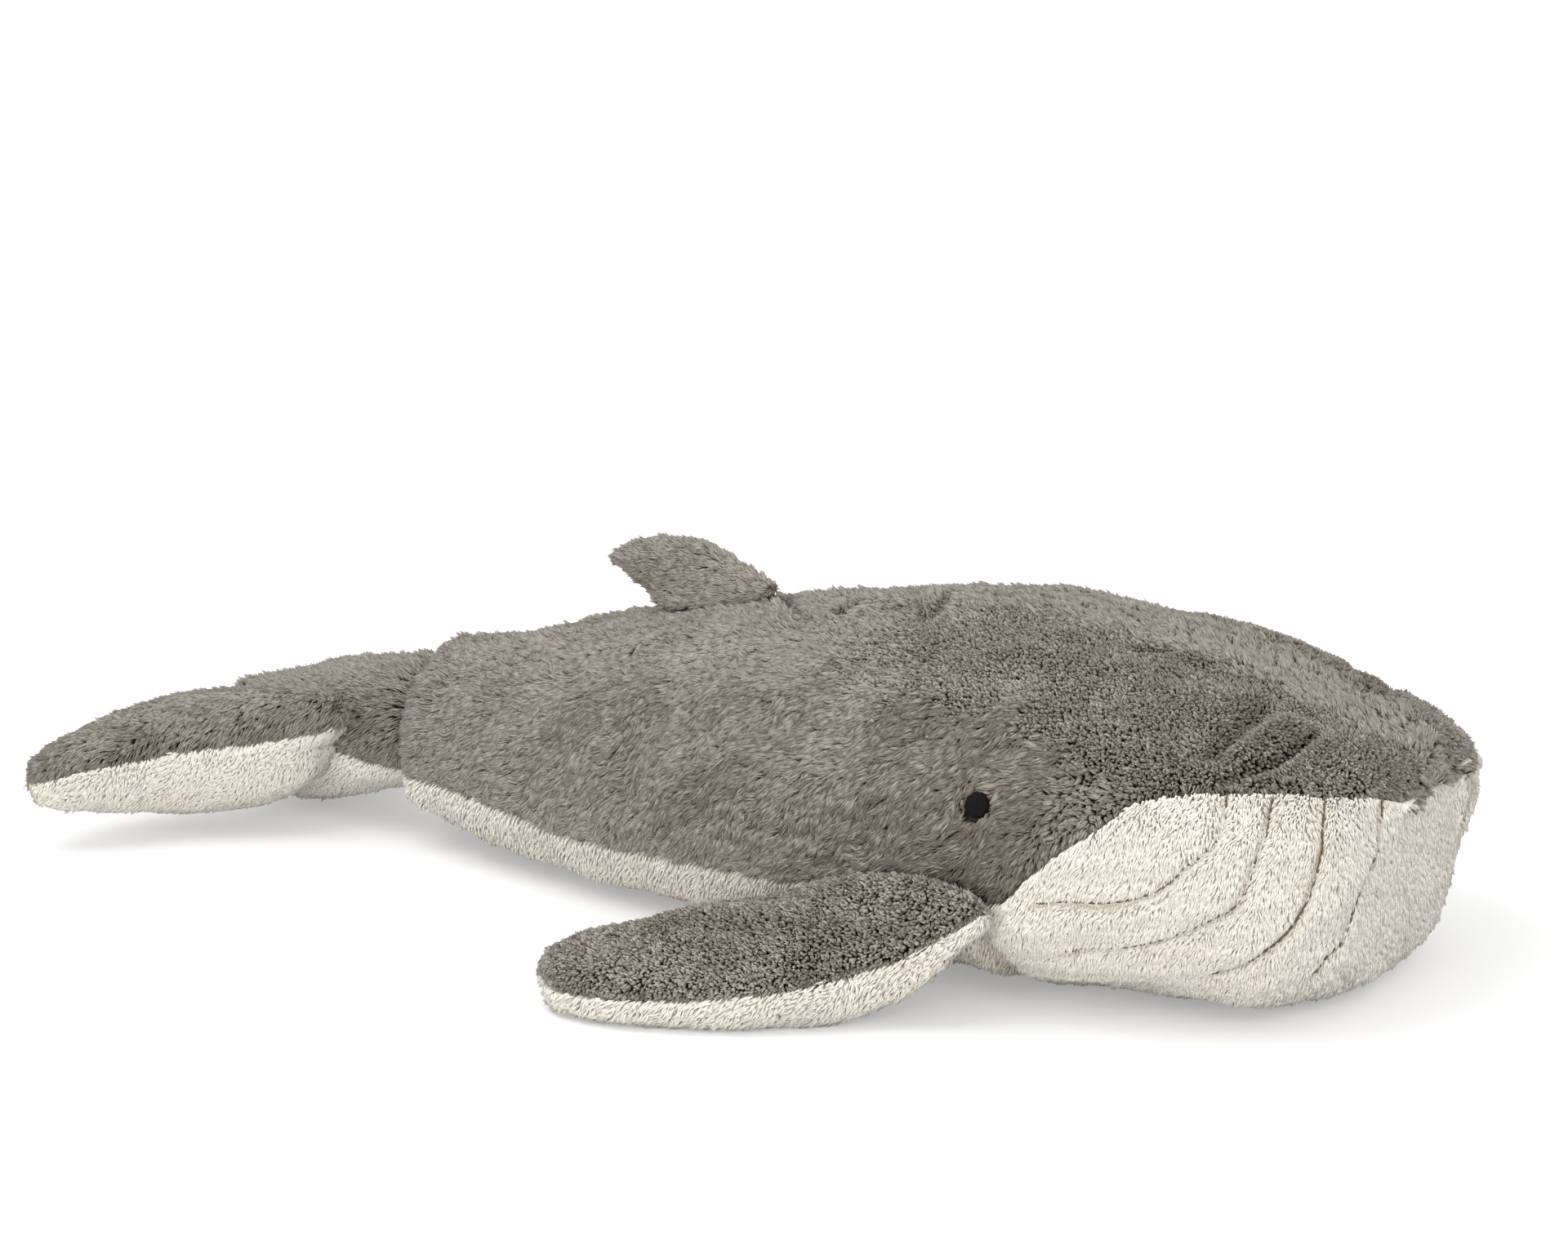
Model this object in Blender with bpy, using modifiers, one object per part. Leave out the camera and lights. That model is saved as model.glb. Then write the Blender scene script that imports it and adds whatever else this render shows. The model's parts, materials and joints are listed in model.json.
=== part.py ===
"""A stuffed plush whale lying on its belly, in metres.

Long-pile fabric panels are sewn over polyester fibre stuffing. The body is one
cushion. The tail stock, the two flukes, the two pectoral fins and the dorsal fin
are cushions of their own, and each swings on the sewn crease at its root.
The head points along +X, the whale's left side is +Y and the floor is z = 0.
"""

import math

import bmesh
import bpy
from mathutils import Matrix, Vector

# Fabric, seams and fits
FABRIC_THICKNESS = 0.004
SEAM_GAP = 0.0003
STUFFING_GAP = 0.0008
SOCKET_CLEARANCE = 0.0005
FLAT_DEPTH = 0.0005
WELD_DISTANCE = 0.000001
SHARP_ANGLE = 50
PROBE_SHARE = 0.002
PROBE_ANGLE = 1

# Body cushion, from the tail crease to the snout
BODY_LENGTH = 0.410
BODY_WIDTH = 0.205
BODY_HEIGHT = 0.120
BODY_STATION_SHARES = (0.0, 0.06, 0.18, 0.33, 0.48, 0.61, 0.71, 0.79, 0.86, 0.92, 0.96, 0.985, 1.0)
HALF_WIDTH_SHARES = (0.30, 0.38, 0.53, 0.70, 0.84, 0.95, 1.0, 0.985, 0.93, 0.82, 0.67, 0.52, 0.32)
TOP_SHARES = (0.62, 0.66, 0.76, 0.87, 0.96, 1.0, 0.98, 0.94, 0.87, 0.79, 0.74, 0.70, 0.61)
BOTTOM_SHARES = (0.10, 0.065, 0.022, 0.0, 0.0, 0.0, 0.0, 0.0, 0.0, 0.0, 0.03, 0.12, 0.61)
WIDEST_SHARES = (0.28, 0.29, 0.30, 0.33, 0.36, 0.39, 0.41, 0.46, 0.50, 0.52, 0.54, 0.57, 0.61)
SEAM_ANGLES = (-8, -8, -13, -23, -24, -19, -6, 8, 31, 35, 34, 24, 0)
UPPER_ROUNDNESS = 2.0
LOWER_ROUNDNESS = 2.6
LOFT_STATION_SHARES = (0.0, 0.04, 0.1, 0.18, 0.26, 0.34, 0.42, 0.5, 0.58, 0.65, 0.71, 0.76, 0.8,
                       0.83, 0.86, 0.89, 0.92, 0.945, 0.965, 0.98, 0.99, 1.0)
THROAT_START_SHARE = 0.71
FILL_END_SHARE = 0.99
BACK_ROWS = 6
BELLY_HALF_ROWS = 6

# Throat pleats: where each starts on the mouth seam, how far it sweeps back, and
# the section angle that it sinks to
PLEAT_START_SHARES = (0.892, 0.922, 0.955, 0.984)
PLEAT_SWEEP_SHARES = (0.14, 0.12, 0.08, 0.03)
PLEAT_END_ANGLES = (-6, -23, -36, -42)
PLEAT_POINTS = 15
PLEAT_TOP_SHARE = 0.06
PLEAT_ROUNDNESS = 2.8
THREAD_RADIUS = 0.0006

# Embroidered eyes
EYE_DIAMETER = 0.0095
EYE_HEIGHT = 0.0018
EYE_STATION_SHARE = 0.697
EYE_ANGLE = 19.5
EYE_RING_SHARES = (1.0, 0.96, 0.75, 0.4, 0.0)
EYE_RISE_SHARES = (0.0, 0.4, 0.8, 0.96, 1.0)
EYE_STEPS = 16

# Tail stock, behind the crease
TAIL_SETBACK = 0.008
TAIL_HEIGHT = 0.050
TAIL_WIDTH = 0.044
TAIL_LENGTH = 0.088
TAIL_DROP = 0.012
TAIL_LEVEL_SHARE = 0.36

# Flukes
FLUKE_SETBACK = 0.053
FLUKE_ROOT_CHORD = 0.078
FLUKE_ROOT_THICKNESS = 0.038
FLUKE_CROWN = 0.019
FLUKE_KEEL = 0.0255
FLUKE_SWEEP = 0.059
FLUKE_SPAN = 0.077
FLUKE_DROP = 0.010
FLUKE_TIP_TURN = 30
FLUKE_TILT = 4
FLUKE_SEAT = 0.0016

# Pectoral fins
PECTORAL_THICKNESS = 0.022
PECTORAL_CROWN = 0.0138
PECTORAL_KEEL = 0.0225
PECTORAL_SWEEP = 0.0971
PECTORAL_SPAN = 0.071
PECTORAL_DROP = 0.0148
PECTORAL_TIP_TURN = 45
PECTORAL_TILT = -14
PECTORAL_SEAT = 0.005
PECTORAL_FRONT_SHARE = 0.72
PECTORAL_REAR_SHARE = 0.54
PECTORAL_FRONT_ANGLE = -6
PECTORAL_REAR_ANGLE = -10

# Dorsal fin
DORSAL_THICKNESS = 0.013
DORSAL_SWEEP = 0.039
DORSAL_SPAN = 0.0205
DORSAL_TIP_TURN = 30
DORSAL_SEAT = 0.002
DORSAL_FRONT_SHARE = 0.375
DORSAL_REAR_SHARE = 0.245

# How the limbs swell, taper and sweep from root (0) to tip (1)
LIMB_STATION_SHARES = (0.0, 0.15, 0.3, 0.45, 0.6, 0.75, 0.9, 0.97, 1.0)
LIMB_LOFT_SHARES = (0.0, 0.1, 0.22, 0.36, 0.5, 0.63, 0.75, 0.85, 0.92, 0.97, 1.0)
LIMB_ROWS = 6
ROOT_RINGS = 4
SOCKET_SEGMENTS = 40
SOCKET_RINGS = 24

GREY_PILE = (0.235, 0.215, 0.195)
CREAM_PILE = (0.80, 0.76, 0.67)
WHITE_FIBRE = (0.86, 0.86, 0.84)
BLACK_THREAD = (0.012, 0.012, 0.014)
BROWN_THREAD = (0.16, 0.115, 0.075)
PILE_ROUGHNESS = 0.95
FIBRE_ROUGHNESS = 0.9
THREAD_ROUGHNESS = 0.6

RIGHT = -1
LEFT = 1


def smooth_share(stations, shares, at):
    """Read a table of shares at one place, on a smooth curve through its points."""
    at = min(max(at, stations[0]), stations[-1])
    last = len(stations) - 1
    slopes = [(shares[i + 1] - shares[i]) / (stations[i + 1] - stations[i]) for i in range(last)]
    tangents = [slopes[0]]
    for i in range(1, last):
        before = stations[i] - stations[i - 1]
        after = stations[i + 1] - stations[i]
        tangents.append((slopes[i - 1] * after + slopes[i] * before) / (before + after))
    tangents.append(slopes[-1])
    i = max(k for k in range(last) if stations[k] <= at)
    width = stations[i + 1] - stations[i]
    t = (at - stations[i]) / width
    return (shares[i] * (1 + 2 * t) * (1 - t) ** 2 + tangents[i] * width * t * (1 - t) ** 2
            + shares[i + 1] * t * t * (3 - 2 * t) + tangents[i + 1] * width * t * t * (t - 1))


def shrink(size, inset):
    """Draw a half size in by an inset, and never past nothing."""
    return size * size / (size + inset) if size > 0 else 0.0


def body_share(shares, station):
    return smooth_share(BODY_STATION_SHARES, shares, station)


def body_point(station, angle, inset=0.0):
    """A point of the body's skin: -90 is under the belly, 0 the right side, 90 the back."""
    widest = body_share(WIDEST_SHARES, station) * BODY_HEIGHT
    half_width = shrink(body_share(HALF_WIDTH_SHARES, station) * BODY_WIDTH / 2, inset)
    above = shrink(body_share(TOP_SHARES, station) * BODY_HEIGHT - widest, inset)
    flat = FLAT_DEPTH if station < 1 else 0.0
    below = shrink(widest - body_share(BOTTOM_SHARES, station) * BODY_HEIGHT + flat, inset)
    across = math.cos(math.radians(angle))
    up = math.sin(math.radians(angle))
    power = 2 / (UPPER_ROUNDNESS if up >= 0 else LOWER_ROUNDNESS)
    reach = above if up >= 0 else below
    return Vector((
        CREASE_X + (BODY_LENGTH - inset) * station,
        -math.copysign(abs(across) ** power, across) * half_width,
        widest + math.copysign(abs(up) ** power, up) * reach,
    ))


def back_angles(station):
    """Section angles from the side seam up to the middle of the back."""
    seam = body_share(SEAM_ANGLES, station)
    return [seam + (90 - seam) * row / BACK_ROWS for row in range(BACK_ROWS + 1)]


def belly_angles(station):
    """Section angles from the right side seam, under the belly, to the left one."""
    seam = body_share(SEAM_ANGLES, station)
    half = [seam + (-90 - seam) * row / BELLY_HALF_ROWS for row in range(BELLY_HALF_ROWS + 1)]
    return half + [-180 - angle for angle in reversed(half[:-1])]


def mirrored(point, side):
    """The right half is drawn; the left one is its mirror image."""
    return Vector((point.x, point.y if side == RIGHT else -point.y, point.z))


def new_object(name, mesh, material, collection):
    item = bpy.data.objects.new(name, mesh)
    mesh.materials.append(material)
    collection.objects.link(item)
    return item


def point_outwards(work):
    """Turn a closed body's faces outwards, so that its volume is positive."""
    bmesh.ops.recalc_face_normals(work, faces=work.faces)
    if work.calc_volume(signed=True) < 0:
        bmesh.ops.reverse_faces(work, faces=work.faces)


def closed_mesh(name, points, faces):
    """Weld a grid's edges and collapsed rows, and split nested skins' quads alike."""
    mesh = bpy.data.meshes.new(name)
    mesh.from_pydata(points, [], faces)
    work = bmesh.new()
    work.from_mesh(mesh)
    bmesh.ops.remove_doubles(work, verts=work.verts, dist=WELD_DISTANCE)
    bmesh.ops.triangulate(work, faces=work.faces, quad_method="SHORT_EDGE")
    point_outwards(work)
    work.to_mesh(mesh)
    work.free()
    mesh.shade_smooth()
    mesh.set_sharp_from_angle(angle=math.radians(SHARP_ANGLE))
    return mesh


def shell_mesh(name, outer, inner):
    """A fabric panel: an outer and an inner grid of points, joined at the four edges."""
    rows = len(outer)
    columns = len(outer[0])
    points = [point for grid in (outer, inner) for row in grid for point in row]

    def index(layer, row, column):
        return (layer * rows + row) * columns + column

    faces = []
    for row in range(rows - 1):
        for column in range(columns - 1):
            for layer in (0, 1):
                corners = [index(layer, row, column), index(layer, row + 1, column),
                           index(layer, row + 1, column + 1), index(layer, row, column + 1)]
                faces.append(corners if layer == 0 else corners[::-1])
    for row in range(rows - 1):
        for column in (0, columns - 1):
            faces.append([index(0, row, column), index(0, row + 1, column),
                          index(1, row + 1, column), index(1, row, column)])
    for column in range(columns - 1):
        for row in (0, rows - 1):
            faces.append([index(0, row, column), index(0, row, column + 1),
                          index(1, row, column + 1), index(1, row, column)])
    return closed_mesh(name, points, faces)


def fill_mesh(name, rings):
    """Stuffing: a closed loft through rings of points, capped at both ends."""
    count = len(rings[0])
    points = [point for ring in rings for point in ring]
    faces = []
    for row in range(len(rings) - 1):
        for column in range(count):
            after = (column + 1) % count
            faces.append([row * count + column, row * count + after,
                          (row + 1) * count + after, (row + 1) * count + column])
    faces.append(list(range(count)))
    faces.append([(len(rings) - 1) * count + column for column in range(count)])
    return closed_mesh(name, points, faces)


def cut_flat(mesh):
    """Cut the resting side flat at floor level."""
    work = bmesh.new()
    work.from_mesh(mesh)
    cut = bmesh.ops.bisect_plane(
        work, geom=work.verts[:] + work.edges[:] + work.faces[:], dist=WELD_DISTANCE,
        plane_co=(0, 0, 0), plane_no=(0, 0, -1), clear_outer=True)
    rim = [item for item in cut["geom_cut"] if isinstance(item, bmesh.types.BMEdge)]
    bmesh.ops.contextual_create(work, geom=rim)
    point_outwards(work)
    work.to_mesh(mesh)
    work.free()


def subtract(item, cutter):
    """Cut a seat for a limb's round root out of a body piece."""
    modifier = item.modifiers.new("seat_" + cutter.name, "BOOLEAN")
    modifier.operation = "DIFFERENCE"
    modifier.solver = "EXACT"
    modifier.object = cutter


class Limb:
    """A cushion on a hinge. Local X is the hinge axis, Y runs out to the tip, Z is its crown."""

    def __init__(self, name, pivot, axis, crown, side, sizes, shares):
        self.name = name
        self.side = side
        self.sizes = sizes
        self.shares = shares
        out = Vector(crown).cross(Vector(axis)).normalized()
        turn = Matrix((Vector(axis).normalized(), out, Vector(axis).cross(out).normalized())).transposed()
        self.frame = Matrix.Translation(pivot) @ turn.to_4x4()

    def share(self, key, station):
        return smooth_share(LIMB_STATION_SHARES, self.shares[key], station)

    def blade_point(self, station, angle, inset):
        """Past the hinge the section swells, sweeps back, turns and tapers to the tip."""
        sizes = self.sizes
        length = math.hypot(sizes["sweep"], sizes["span"])
        at = station * (1 - inset / length)
        turn = math.radians(sizes["turn"] * self.share("turn", at))
        tilt = math.radians(sizes["tilt"] * self.share("tilt", at))
        chord = shrink(sizes["chord"] / 2 * self.share("chord", at), inset)
        height = sizes["crown"] if angle <= 180 else sizes["keel"]
        key = "crown" if angle <= 180 else "keel"
        height = shrink(height * self.share(key, at), inset) if station < 1 else 0.0
        chord = chord if station < 1 else 0.0
        across = chord * math.cos(math.radians(angle))
        rise = height * math.sin(math.radians(angle))
        return Vector((
            -sizes["sweep"] * self.share("sweep", at) + across * math.cos(turn) * math.cos(tilt),
            self.side * (sizes["span"] * self.share("span", at) + across * math.sin(turn)),
            -sizes["drop"] * self.share("drop", at) + across * math.sin(tilt) + rise,
        ))

    def root_point(self, depth, angle, inset):
        """The root is half a spheroid about the hinge axis, so it turns in its seat."""
        chord = shrink(self.sizes["chord"] / 2, inset)
        radius = shrink(self.sizes["radius"], inset)
        scale = math.cos(depth)
        return Vector((
            chord * scale * math.cos(math.radians(angle)),
            -self.side * radius * math.sin(depth),
            radius * scale * math.sin(math.radians(angle)),
        ))

    def ring(self, place, angles, inset):
        kind, value = place
        draw = self.blade_point if kind == "blade" else self.root_point
        return [draw(value, angle, inset) for angle in angles]

    def places(self):
        """Root rings from the deepest one out to the hinge, then the blade's stations."""
        depths = [math.pi / 2 * (ROOT_RINGS - ring) / ROOT_RINGS for ring in range(ROOT_RINGS)]
        return [("root", depth) for depth in depths] + [("blade", at) for at in LIMB_LOFT_SHARES]

    def panel(self, name, first, last, lift, material, collection, parent):
        """One fabric half, drawn off the seam plane by half the seam's gap."""
        angles = [first + (last - first) * row / LIMB_ROWS for row in range(LIMB_ROWS + 1)]
        offset = Vector((0, 0, lift * SEAM_GAP / 2))
        grids = []
        for inset in (0.0, FABRIC_THICKNESS):
            grids.append([[point + offset for point in self.ring(place, angles, inset)]
                          for place in self.places()])
        item = new_object(name, shell_mesh(name, grids[0], grids[1]), material, collection)
        item.parent = parent
        return item

    def stuffing(self, name, material, collection, parent):
        angles = [180 * row / LIMB_ROWS for row in range(2 * LIMB_ROWS)]
        inset = FABRIC_THICKNESS + STUFFING_GAP
        rings = [self.ring(place, angles, inset) for place in self.places()]
        item = new_object(name, fill_mesh(name, rings), material, collection)
        item.parent = parent
        return item

    def hinge(self, collection, parent=None):
        """An empty on the hinge axis, which the limb's pieces hang from."""
        empty = bpy.data.objects.new(self.name + "_hinge", None)
        empty.empty_display_size = self.sizes["chord"] / 2
        empty.parent = parent
        empty.matrix_parent_inverse = parent.matrix_basis.inverted() if parent else Matrix()
        empty.matrix_basis = self.frame
        collection.objects.link(empty)
        return empty

    def cutter(self, collection, parent):
        """The root's spheroid with its clearance, for the seat that it turns in."""
        mesh = bpy.data.meshes.new(self.name + "_seat")
        work = bmesh.new()
        bmesh.ops.create_uvsphere(work, u_segments=SOCKET_SEGMENTS, v_segments=SOCKET_RINGS, radius=1)
        radius = self.sizes["radius"] + SOCKET_CLEARANCE
        reach = Vector((self.sizes["chord"] / 2 + SOCKET_CLEARANCE, radius, radius))
        bmesh.ops.scale(work, vec=reach, verts=work.verts)
        work.to_mesh(mesh)
        work.free()
        item = bpy.data.objects.new(self.name + "_seat", mesh)
        item.parent = parent
        item.hide_render = True
        item.display_type = "WIRE"
        collection.objects.link(item)
        return item


def tail_limb():
    shares = {
        "sweep": (0,) * 9,
        "span": (0, 0.15, 0.3, 0.45, 0.6, 0.75, 0.9, 0.97, 1),
        "drop": (0, 0.15, 0.3, 0.45, 0.6, 0.75, 0.9, 0.97, 1),
        "turn": (0,) * 9,
        "tilt": (0,) * 9,
        "chord": (1, 0.95, 0.83, 0.72, 0.62, 0.53, 0.4, 0.25, 0),
        "crown": (1, 0.99, 0.97, 0.95, 0.91, 0.83, 0.63, 0.4, 0),
        "keel": (1, 1.08, 1.18, 1.25, 1.25, 1.13, 0.88, 0.58, 0),
    }
    sizes = {"chord": TAIL_WIDTH, "radius": TAIL_HEIGHT / 2, "crown": TAIL_HEIGHT / 2,
             "keel": TAIL_HEIGHT / 2, "sweep": 0.0, "span": TAIL_LENGTH, "drop": TAIL_DROP,
             "turn": 0, "tilt": 0}
    pivot = Vector((TAIL_AXIS_X, 0, TAIL_AXIS_Z))
    return Limb("tail", pivot, Vector((0, 1, 0)), Vector((0, 0, 1)), LEFT, sizes, shares)


FLUKE_SHARES = {
    "sweep": (0, 0.12, 0.30, 0.51, 0.69, 0.83, 0.945, 0.985, 1),
    "span": (0, 0.06, 0.16, 0.32, 0.50, 0.71, 0.90, 0.97, 1),
    "drop": (0, 0.06, 0.16, 0.34, 0.54, 0.72, 0.9, 0.97, 1),
    "turn": (0, 0.15, 0.4, 0.6, 0.7, 0.8, 0.95, 1, 1),
    "tilt": (0, 0.4, 0.8, 1, 1, 0.8, 0.4, 0.1, 0),
    "chord": (1, 0.96, 0.85, 0.67, 0.53, 0.41, 0.277, 0.162, 0),
    "crown": (1, 1.02, 1.05, 1.03, 0.95, 0.8, 0.56, 0.35, 0),
    "keel": (0.745, 0.94, 1.04, 1, 0.86, 0.698, 0.47, 0.282, 0),
}
FLUKE_SIZES = {
    "chord": FLUKE_ROOT_CHORD, "radius": FLUKE_ROOT_THICKNESS / 2, "crown": FLUKE_CROWN,
    "keel": FLUKE_KEEL, "sweep": FLUKE_SWEEP, "span": FLUKE_SPAN, "drop": FLUKE_DROP,
    "turn": FLUKE_TIP_TURN, "tilt": FLUKE_TILT,
}


def fluke_at(name, pivot, side):
    return Limb(name, pivot, Vector((1, 0, 0)), Vector((0, 0, 1)), side, FLUKE_SIZES, FLUKE_SHARES)


def fluke_limb(side, tail):
    """The lobe's round root is let into the stock's flank by a shallow seat."""
    behind = (FLUKE_SETBACK - TAIL_SETBACK) / TAIL_LENGTH
    flank = TAIL_WIDTH / 2 * tail.share("chord", behind)
    level = TAIL_AXIS_Z - TAIL_DROP * tail.share("drop", behind)
    out = flank + FLUKE_ROOT_THICKNESS / 2 - FLUKE_SEAT
    name = "fluke_right" if side == RIGHT else "fluke_left"
    return fluke_at(name, Vector((CREASE_X - FLUKE_SETBACK, side * out, level)), side)


def rearmost_reach():
    """How far behind its hinge a fluke's trailing edge comes."""
    fluke = fluke_at("fluke", Vector((0, 0, 0)), LEFT)
    return -min(point.x for place in fluke.places() for point in fluke.ring(place, (180,), 0.0))


# The origin lies half way between the snout and the flukes' rearmost edge
NOSE_X = (BODY_LENGTH + FLUKE_SETBACK + rearmost_reach()) / 2
CREASE_X = NOSE_X - BODY_LENGTH
TAIL_AXIS_X = CREASE_X - TAIL_SETBACK
TAIL_AXIS_Z = BODY_HEIGHT * TAIL_LEVEL_SHARE


def pectoral_limb(side):
    """The root chord follows the body's flank, and is tucked into the side seam."""
    name = "pectoral_right" if side == RIGHT else "pectoral_left"
    shares = {
        "sweep": (0, 0.112, 0.235, 0.396, 0.55, 0.722, 0.895, 0.971, 1),
        "span": (0, 0.11, 0.24, 0.45, 0.65, 0.83, 0.96, 0.99, 1),
        "drop": (0, 0.351, 0.662, 0.851, 0.919, 0.959, 0.986, 1, 1),
        "turn": (0, 0.07, 0.16, 0.36, 0.53, 0.67, 0.93, 1, 1),
        "tilt": (0, 0.35, 0.68, 0.9, 1, 1, 1, 1, 1),
        "chord": (1, 0.96, 0.88, 0.845, 0.76, 0.625, 0.41, 0.227, 0),
        "crown": (0.797, 0.87, 0.942, 1, 0.957, 0.855, 0.652, 0.4, 0),
        "keel": (0.489, 0.854, 1, 0.829, 0.683, 0.61, 0.478, 0.317, 0),
    }
    front = body_point(PECTORAL_FRONT_SHARE, PECTORAL_FRONT_ANGLE)
    rear = body_point(PECTORAL_REAR_SHARE, PECTORAL_REAR_ANGLE)
    chord = (front - rear).length
    axis = (front - rear).normalized()
    outward = axis.cross(Vector((0, 0, 1))).normalized()
    middle_share = (PECTORAL_FRONT_SHARE + PECTORAL_REAR_SHARE) / 2
    middle_angle = (PECTORAL_FRONT_ANGLE + PECTORAL_REAR_ANGLE) / 2
    pivot = body_point(middle_share, middle_angle) + outward * (PECTORAL_THICKNESS / 2 - PECTORAL_SEAT)
    sizes = {"chord": chord, "radius": PECTORAL_THICKNESS / 2, "crown": PECTORAL_CROWN,
             "keel": PECTORAL_KEEL, "sweep": PECTORAL_SWEEP, "span": PECTORAL_SPAN,
             "drop": PECTORAL_DROP, "turn": PECTORAL_TIP_TURN, "tilt": PECTORAL_TILT}
    return Limb(name, mirrored(pivot, side), mirrored(axis, side), Vector((0, 0, 1)), side, sizes, shares)


def dorsal_limb():
    """The base follows the slope of the back, and the fin stands up from it."""
    shares = {
        "sweep": (0, 0.09, 0.21, 0.34, 0.48, 0.65, 0.85, 0.95, 1),
        "span": (0, 0.18, 0.37, 0.58, 0.75, 0.88, 0.97, 0.99, 1),
        "drop": (0,) * 9,
        "turn": (0, 0.12, 0.24, 0.37, 0.52, 0.67, 0.9, 1, 1),
        "tilt": (0,) * 9,
        "chord": (1, 0.93, 0.84, 0.77, 0.68, 0.54, 0.34, 0.19, 0),
        "crown": (1, 1, 0.98, 0.95, 0.9, 0.82, 0.65, 0.42, 0),
        "keel": (1, 1, 0.98, 0.95, 0.9, 0.82, 0.65, 0.42, 0),
    }
    front = body_point(DORSAL_FRONT_SHARE, 90)
    rear = body_point(DORSAL_REAR_SHARE, 90)
    axis = (front - rear).normalized()
    up = Vector((-axis.z, 0, axis.x))
    middle = body_point((DORSAL_FRONT_SHARE + DORSAL_REAR_SHARE) / 2, 90)
    pivot = middle + up * (DORSAL_THICKNESS / 2 - DORSAL_SEAT)
    sizes = {"chord": (front - rear).length, "radius": DORSAL_THICKNESS / 2,
             "crown": DORSAL_THICKNESS / 2, "keel": DORSAL_THICKNESS / 2, "sweep": DORSAL_SWEEP,
             "span": DORSAL_SPAN, "drop": 0.0, "turn": DORSAL_TIP_TURN, "tilt": 0}
    return Limb("dorsal", pivot, axis, Vector((0, -1, 0)), LEFT, sizes, shares)


def back_panel(side, material, collection):
    """A grey side of the back, from the side seam up to the seam along the spine."""
    name = "back_panel_right" if side == RIGHT else "back_panel_left"
    offset = Vector((0, -SEAM_GAP / 2, SEAM_GAP / 2))
    grids = []
    for inset in (0.0, FABRIC_THICKNESS):
        grids.append([[mirrored(body_point(at, angle, inset) + offset, side)
                       for angle in back_angles(at)] for at in LOFT_STATION_SHARES])
    return new_object(name, shell_mesh(name, grids[0], grids[1]), material, collection)


def under_panel(name, first, last, material, collection):
    """A cream panel of the underside, between two stations, cut flat where it rests."""
    offset = Vector((0, 0, -SEAM_GAP / 2))
    stations = [at for at in LOFT_STATION_SHARES if first < at < last]
    stations = [first] + stations + [last]
    grids = []
    for inset in (0.0, FABRIC_THICKNESS):
        grids.append([[body_point(at, angle, inset) + offset for angle in belly_angles(at)]
                      for at in stations])
    mesh = shell_mesh(name, grids[0], grids[1])
    cut_flat(mesh)
    return new_object(name, mesh, material, collection)


def body_stuffing(material, collection):
    """The fibre filling of the body, as one closed form inside the panels."""
    inset = FABRIC_THICKNESS + STUFFING_GAP
    rings = []
    for at in LOFT_STATION_SHARES:
        if at <= FILL_END_SHARE:
            right = back_angles(at)
            left = [180 - angle for angle in reversed(right[:-1])]
            under = [360 + angle for angle in reversed(belly_angles(at))][1:-1]
            rings.append([body_point(at, angle, inset) for angle in right + left + under])
    return new_object("body_stuffing", fill_mesh("body_stuffing", rings), material, collection)


def surface_frame(station, angle, lift, side):
    """A frame on the body's skin: Z along the outward normal, its origin lifted off."""
    point = body_point(station, angle)
    along = body_point(station + PROBE_SHARE, angle) - body_point(station - PROBE_SHARE, angle)
    around = body_point(station, angle + PROBE_ANGLE) - body_point(station, angle - PROBE_ANGLE)
    normal = around.cross(along).normalized()
    if normal.dot(point - Vector((point.x, 0, BODY_HEIGHT / 2))) < 0:
        normal = -normal
    origin = mirrored(point + normal * lift, side)
    normal = mirrored(normal, side)
    return Matrix.Translation(origin) @ normal.to_track_quat("Z", "Y").to_matrix().to_4x4()


def eye(side, material, collection):
    """A domed disc of satin stitches, turned from its profile."""
    name = "eye_right" if side == RIGHT else "eye_left"
    mesh = bpy.data.meshes.new(name)
    radius = EYE_DIAMETER / 2
    profile = [(radius * ring, 0, EYE_HEIGHT * rise)
               for ring, rise in zip(reversed(EYE_RING_SHARES), reversed(EYE_RISE_SHARES))]
    profile.append((0, 0, 0))
    mesh.from_pydata(profile, [(i, i + 1) for i in range(len(profile) - 1)], [])
    item = new_object(name, mesh, material, collection)
    item.matrix_basis = surface_frame(EYE_STATION_SHARE, EYE_ANGLE, SEAM_GAP, side)
    turn = item.modifiers.new("turned", "SCREW")
    turn.steps = EYE_STEPS
    turn.render_steps = EYE_STEPS
    turn.use_merge_vertices = True
    turn.merge_threshold = WELD_DISTANCE
    return item


def pleat_route(start, sweep, end_angle, side):
    """One throat pleat: down from the mouth seam, curving back along the throat."""
    top = body_share(SEAM_ANGLES, start)
    lift = THREAD_RADIUS + 2 * SEAM_GAP
    route = []
    for i in range(PLEAT_POINTS):
        bend = math.pi / 2 * (PLEAT_TOP_SHARE + (1 - PLEAT_TOP_SHARE) * i / (PLEAT_POINTS - 1))
        back = 1 - math.cos(bend) ** (2 / PLEAT_ROUNDNESS)
        down = math.sin(bend) ** (2 / PLEAT_ROUNDNESS)
        station = start - sweep * back
        angle = top + (end_angle - top) * down
        route.append(surface_frame(station, angle, lift, side).translation)
    return route


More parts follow.
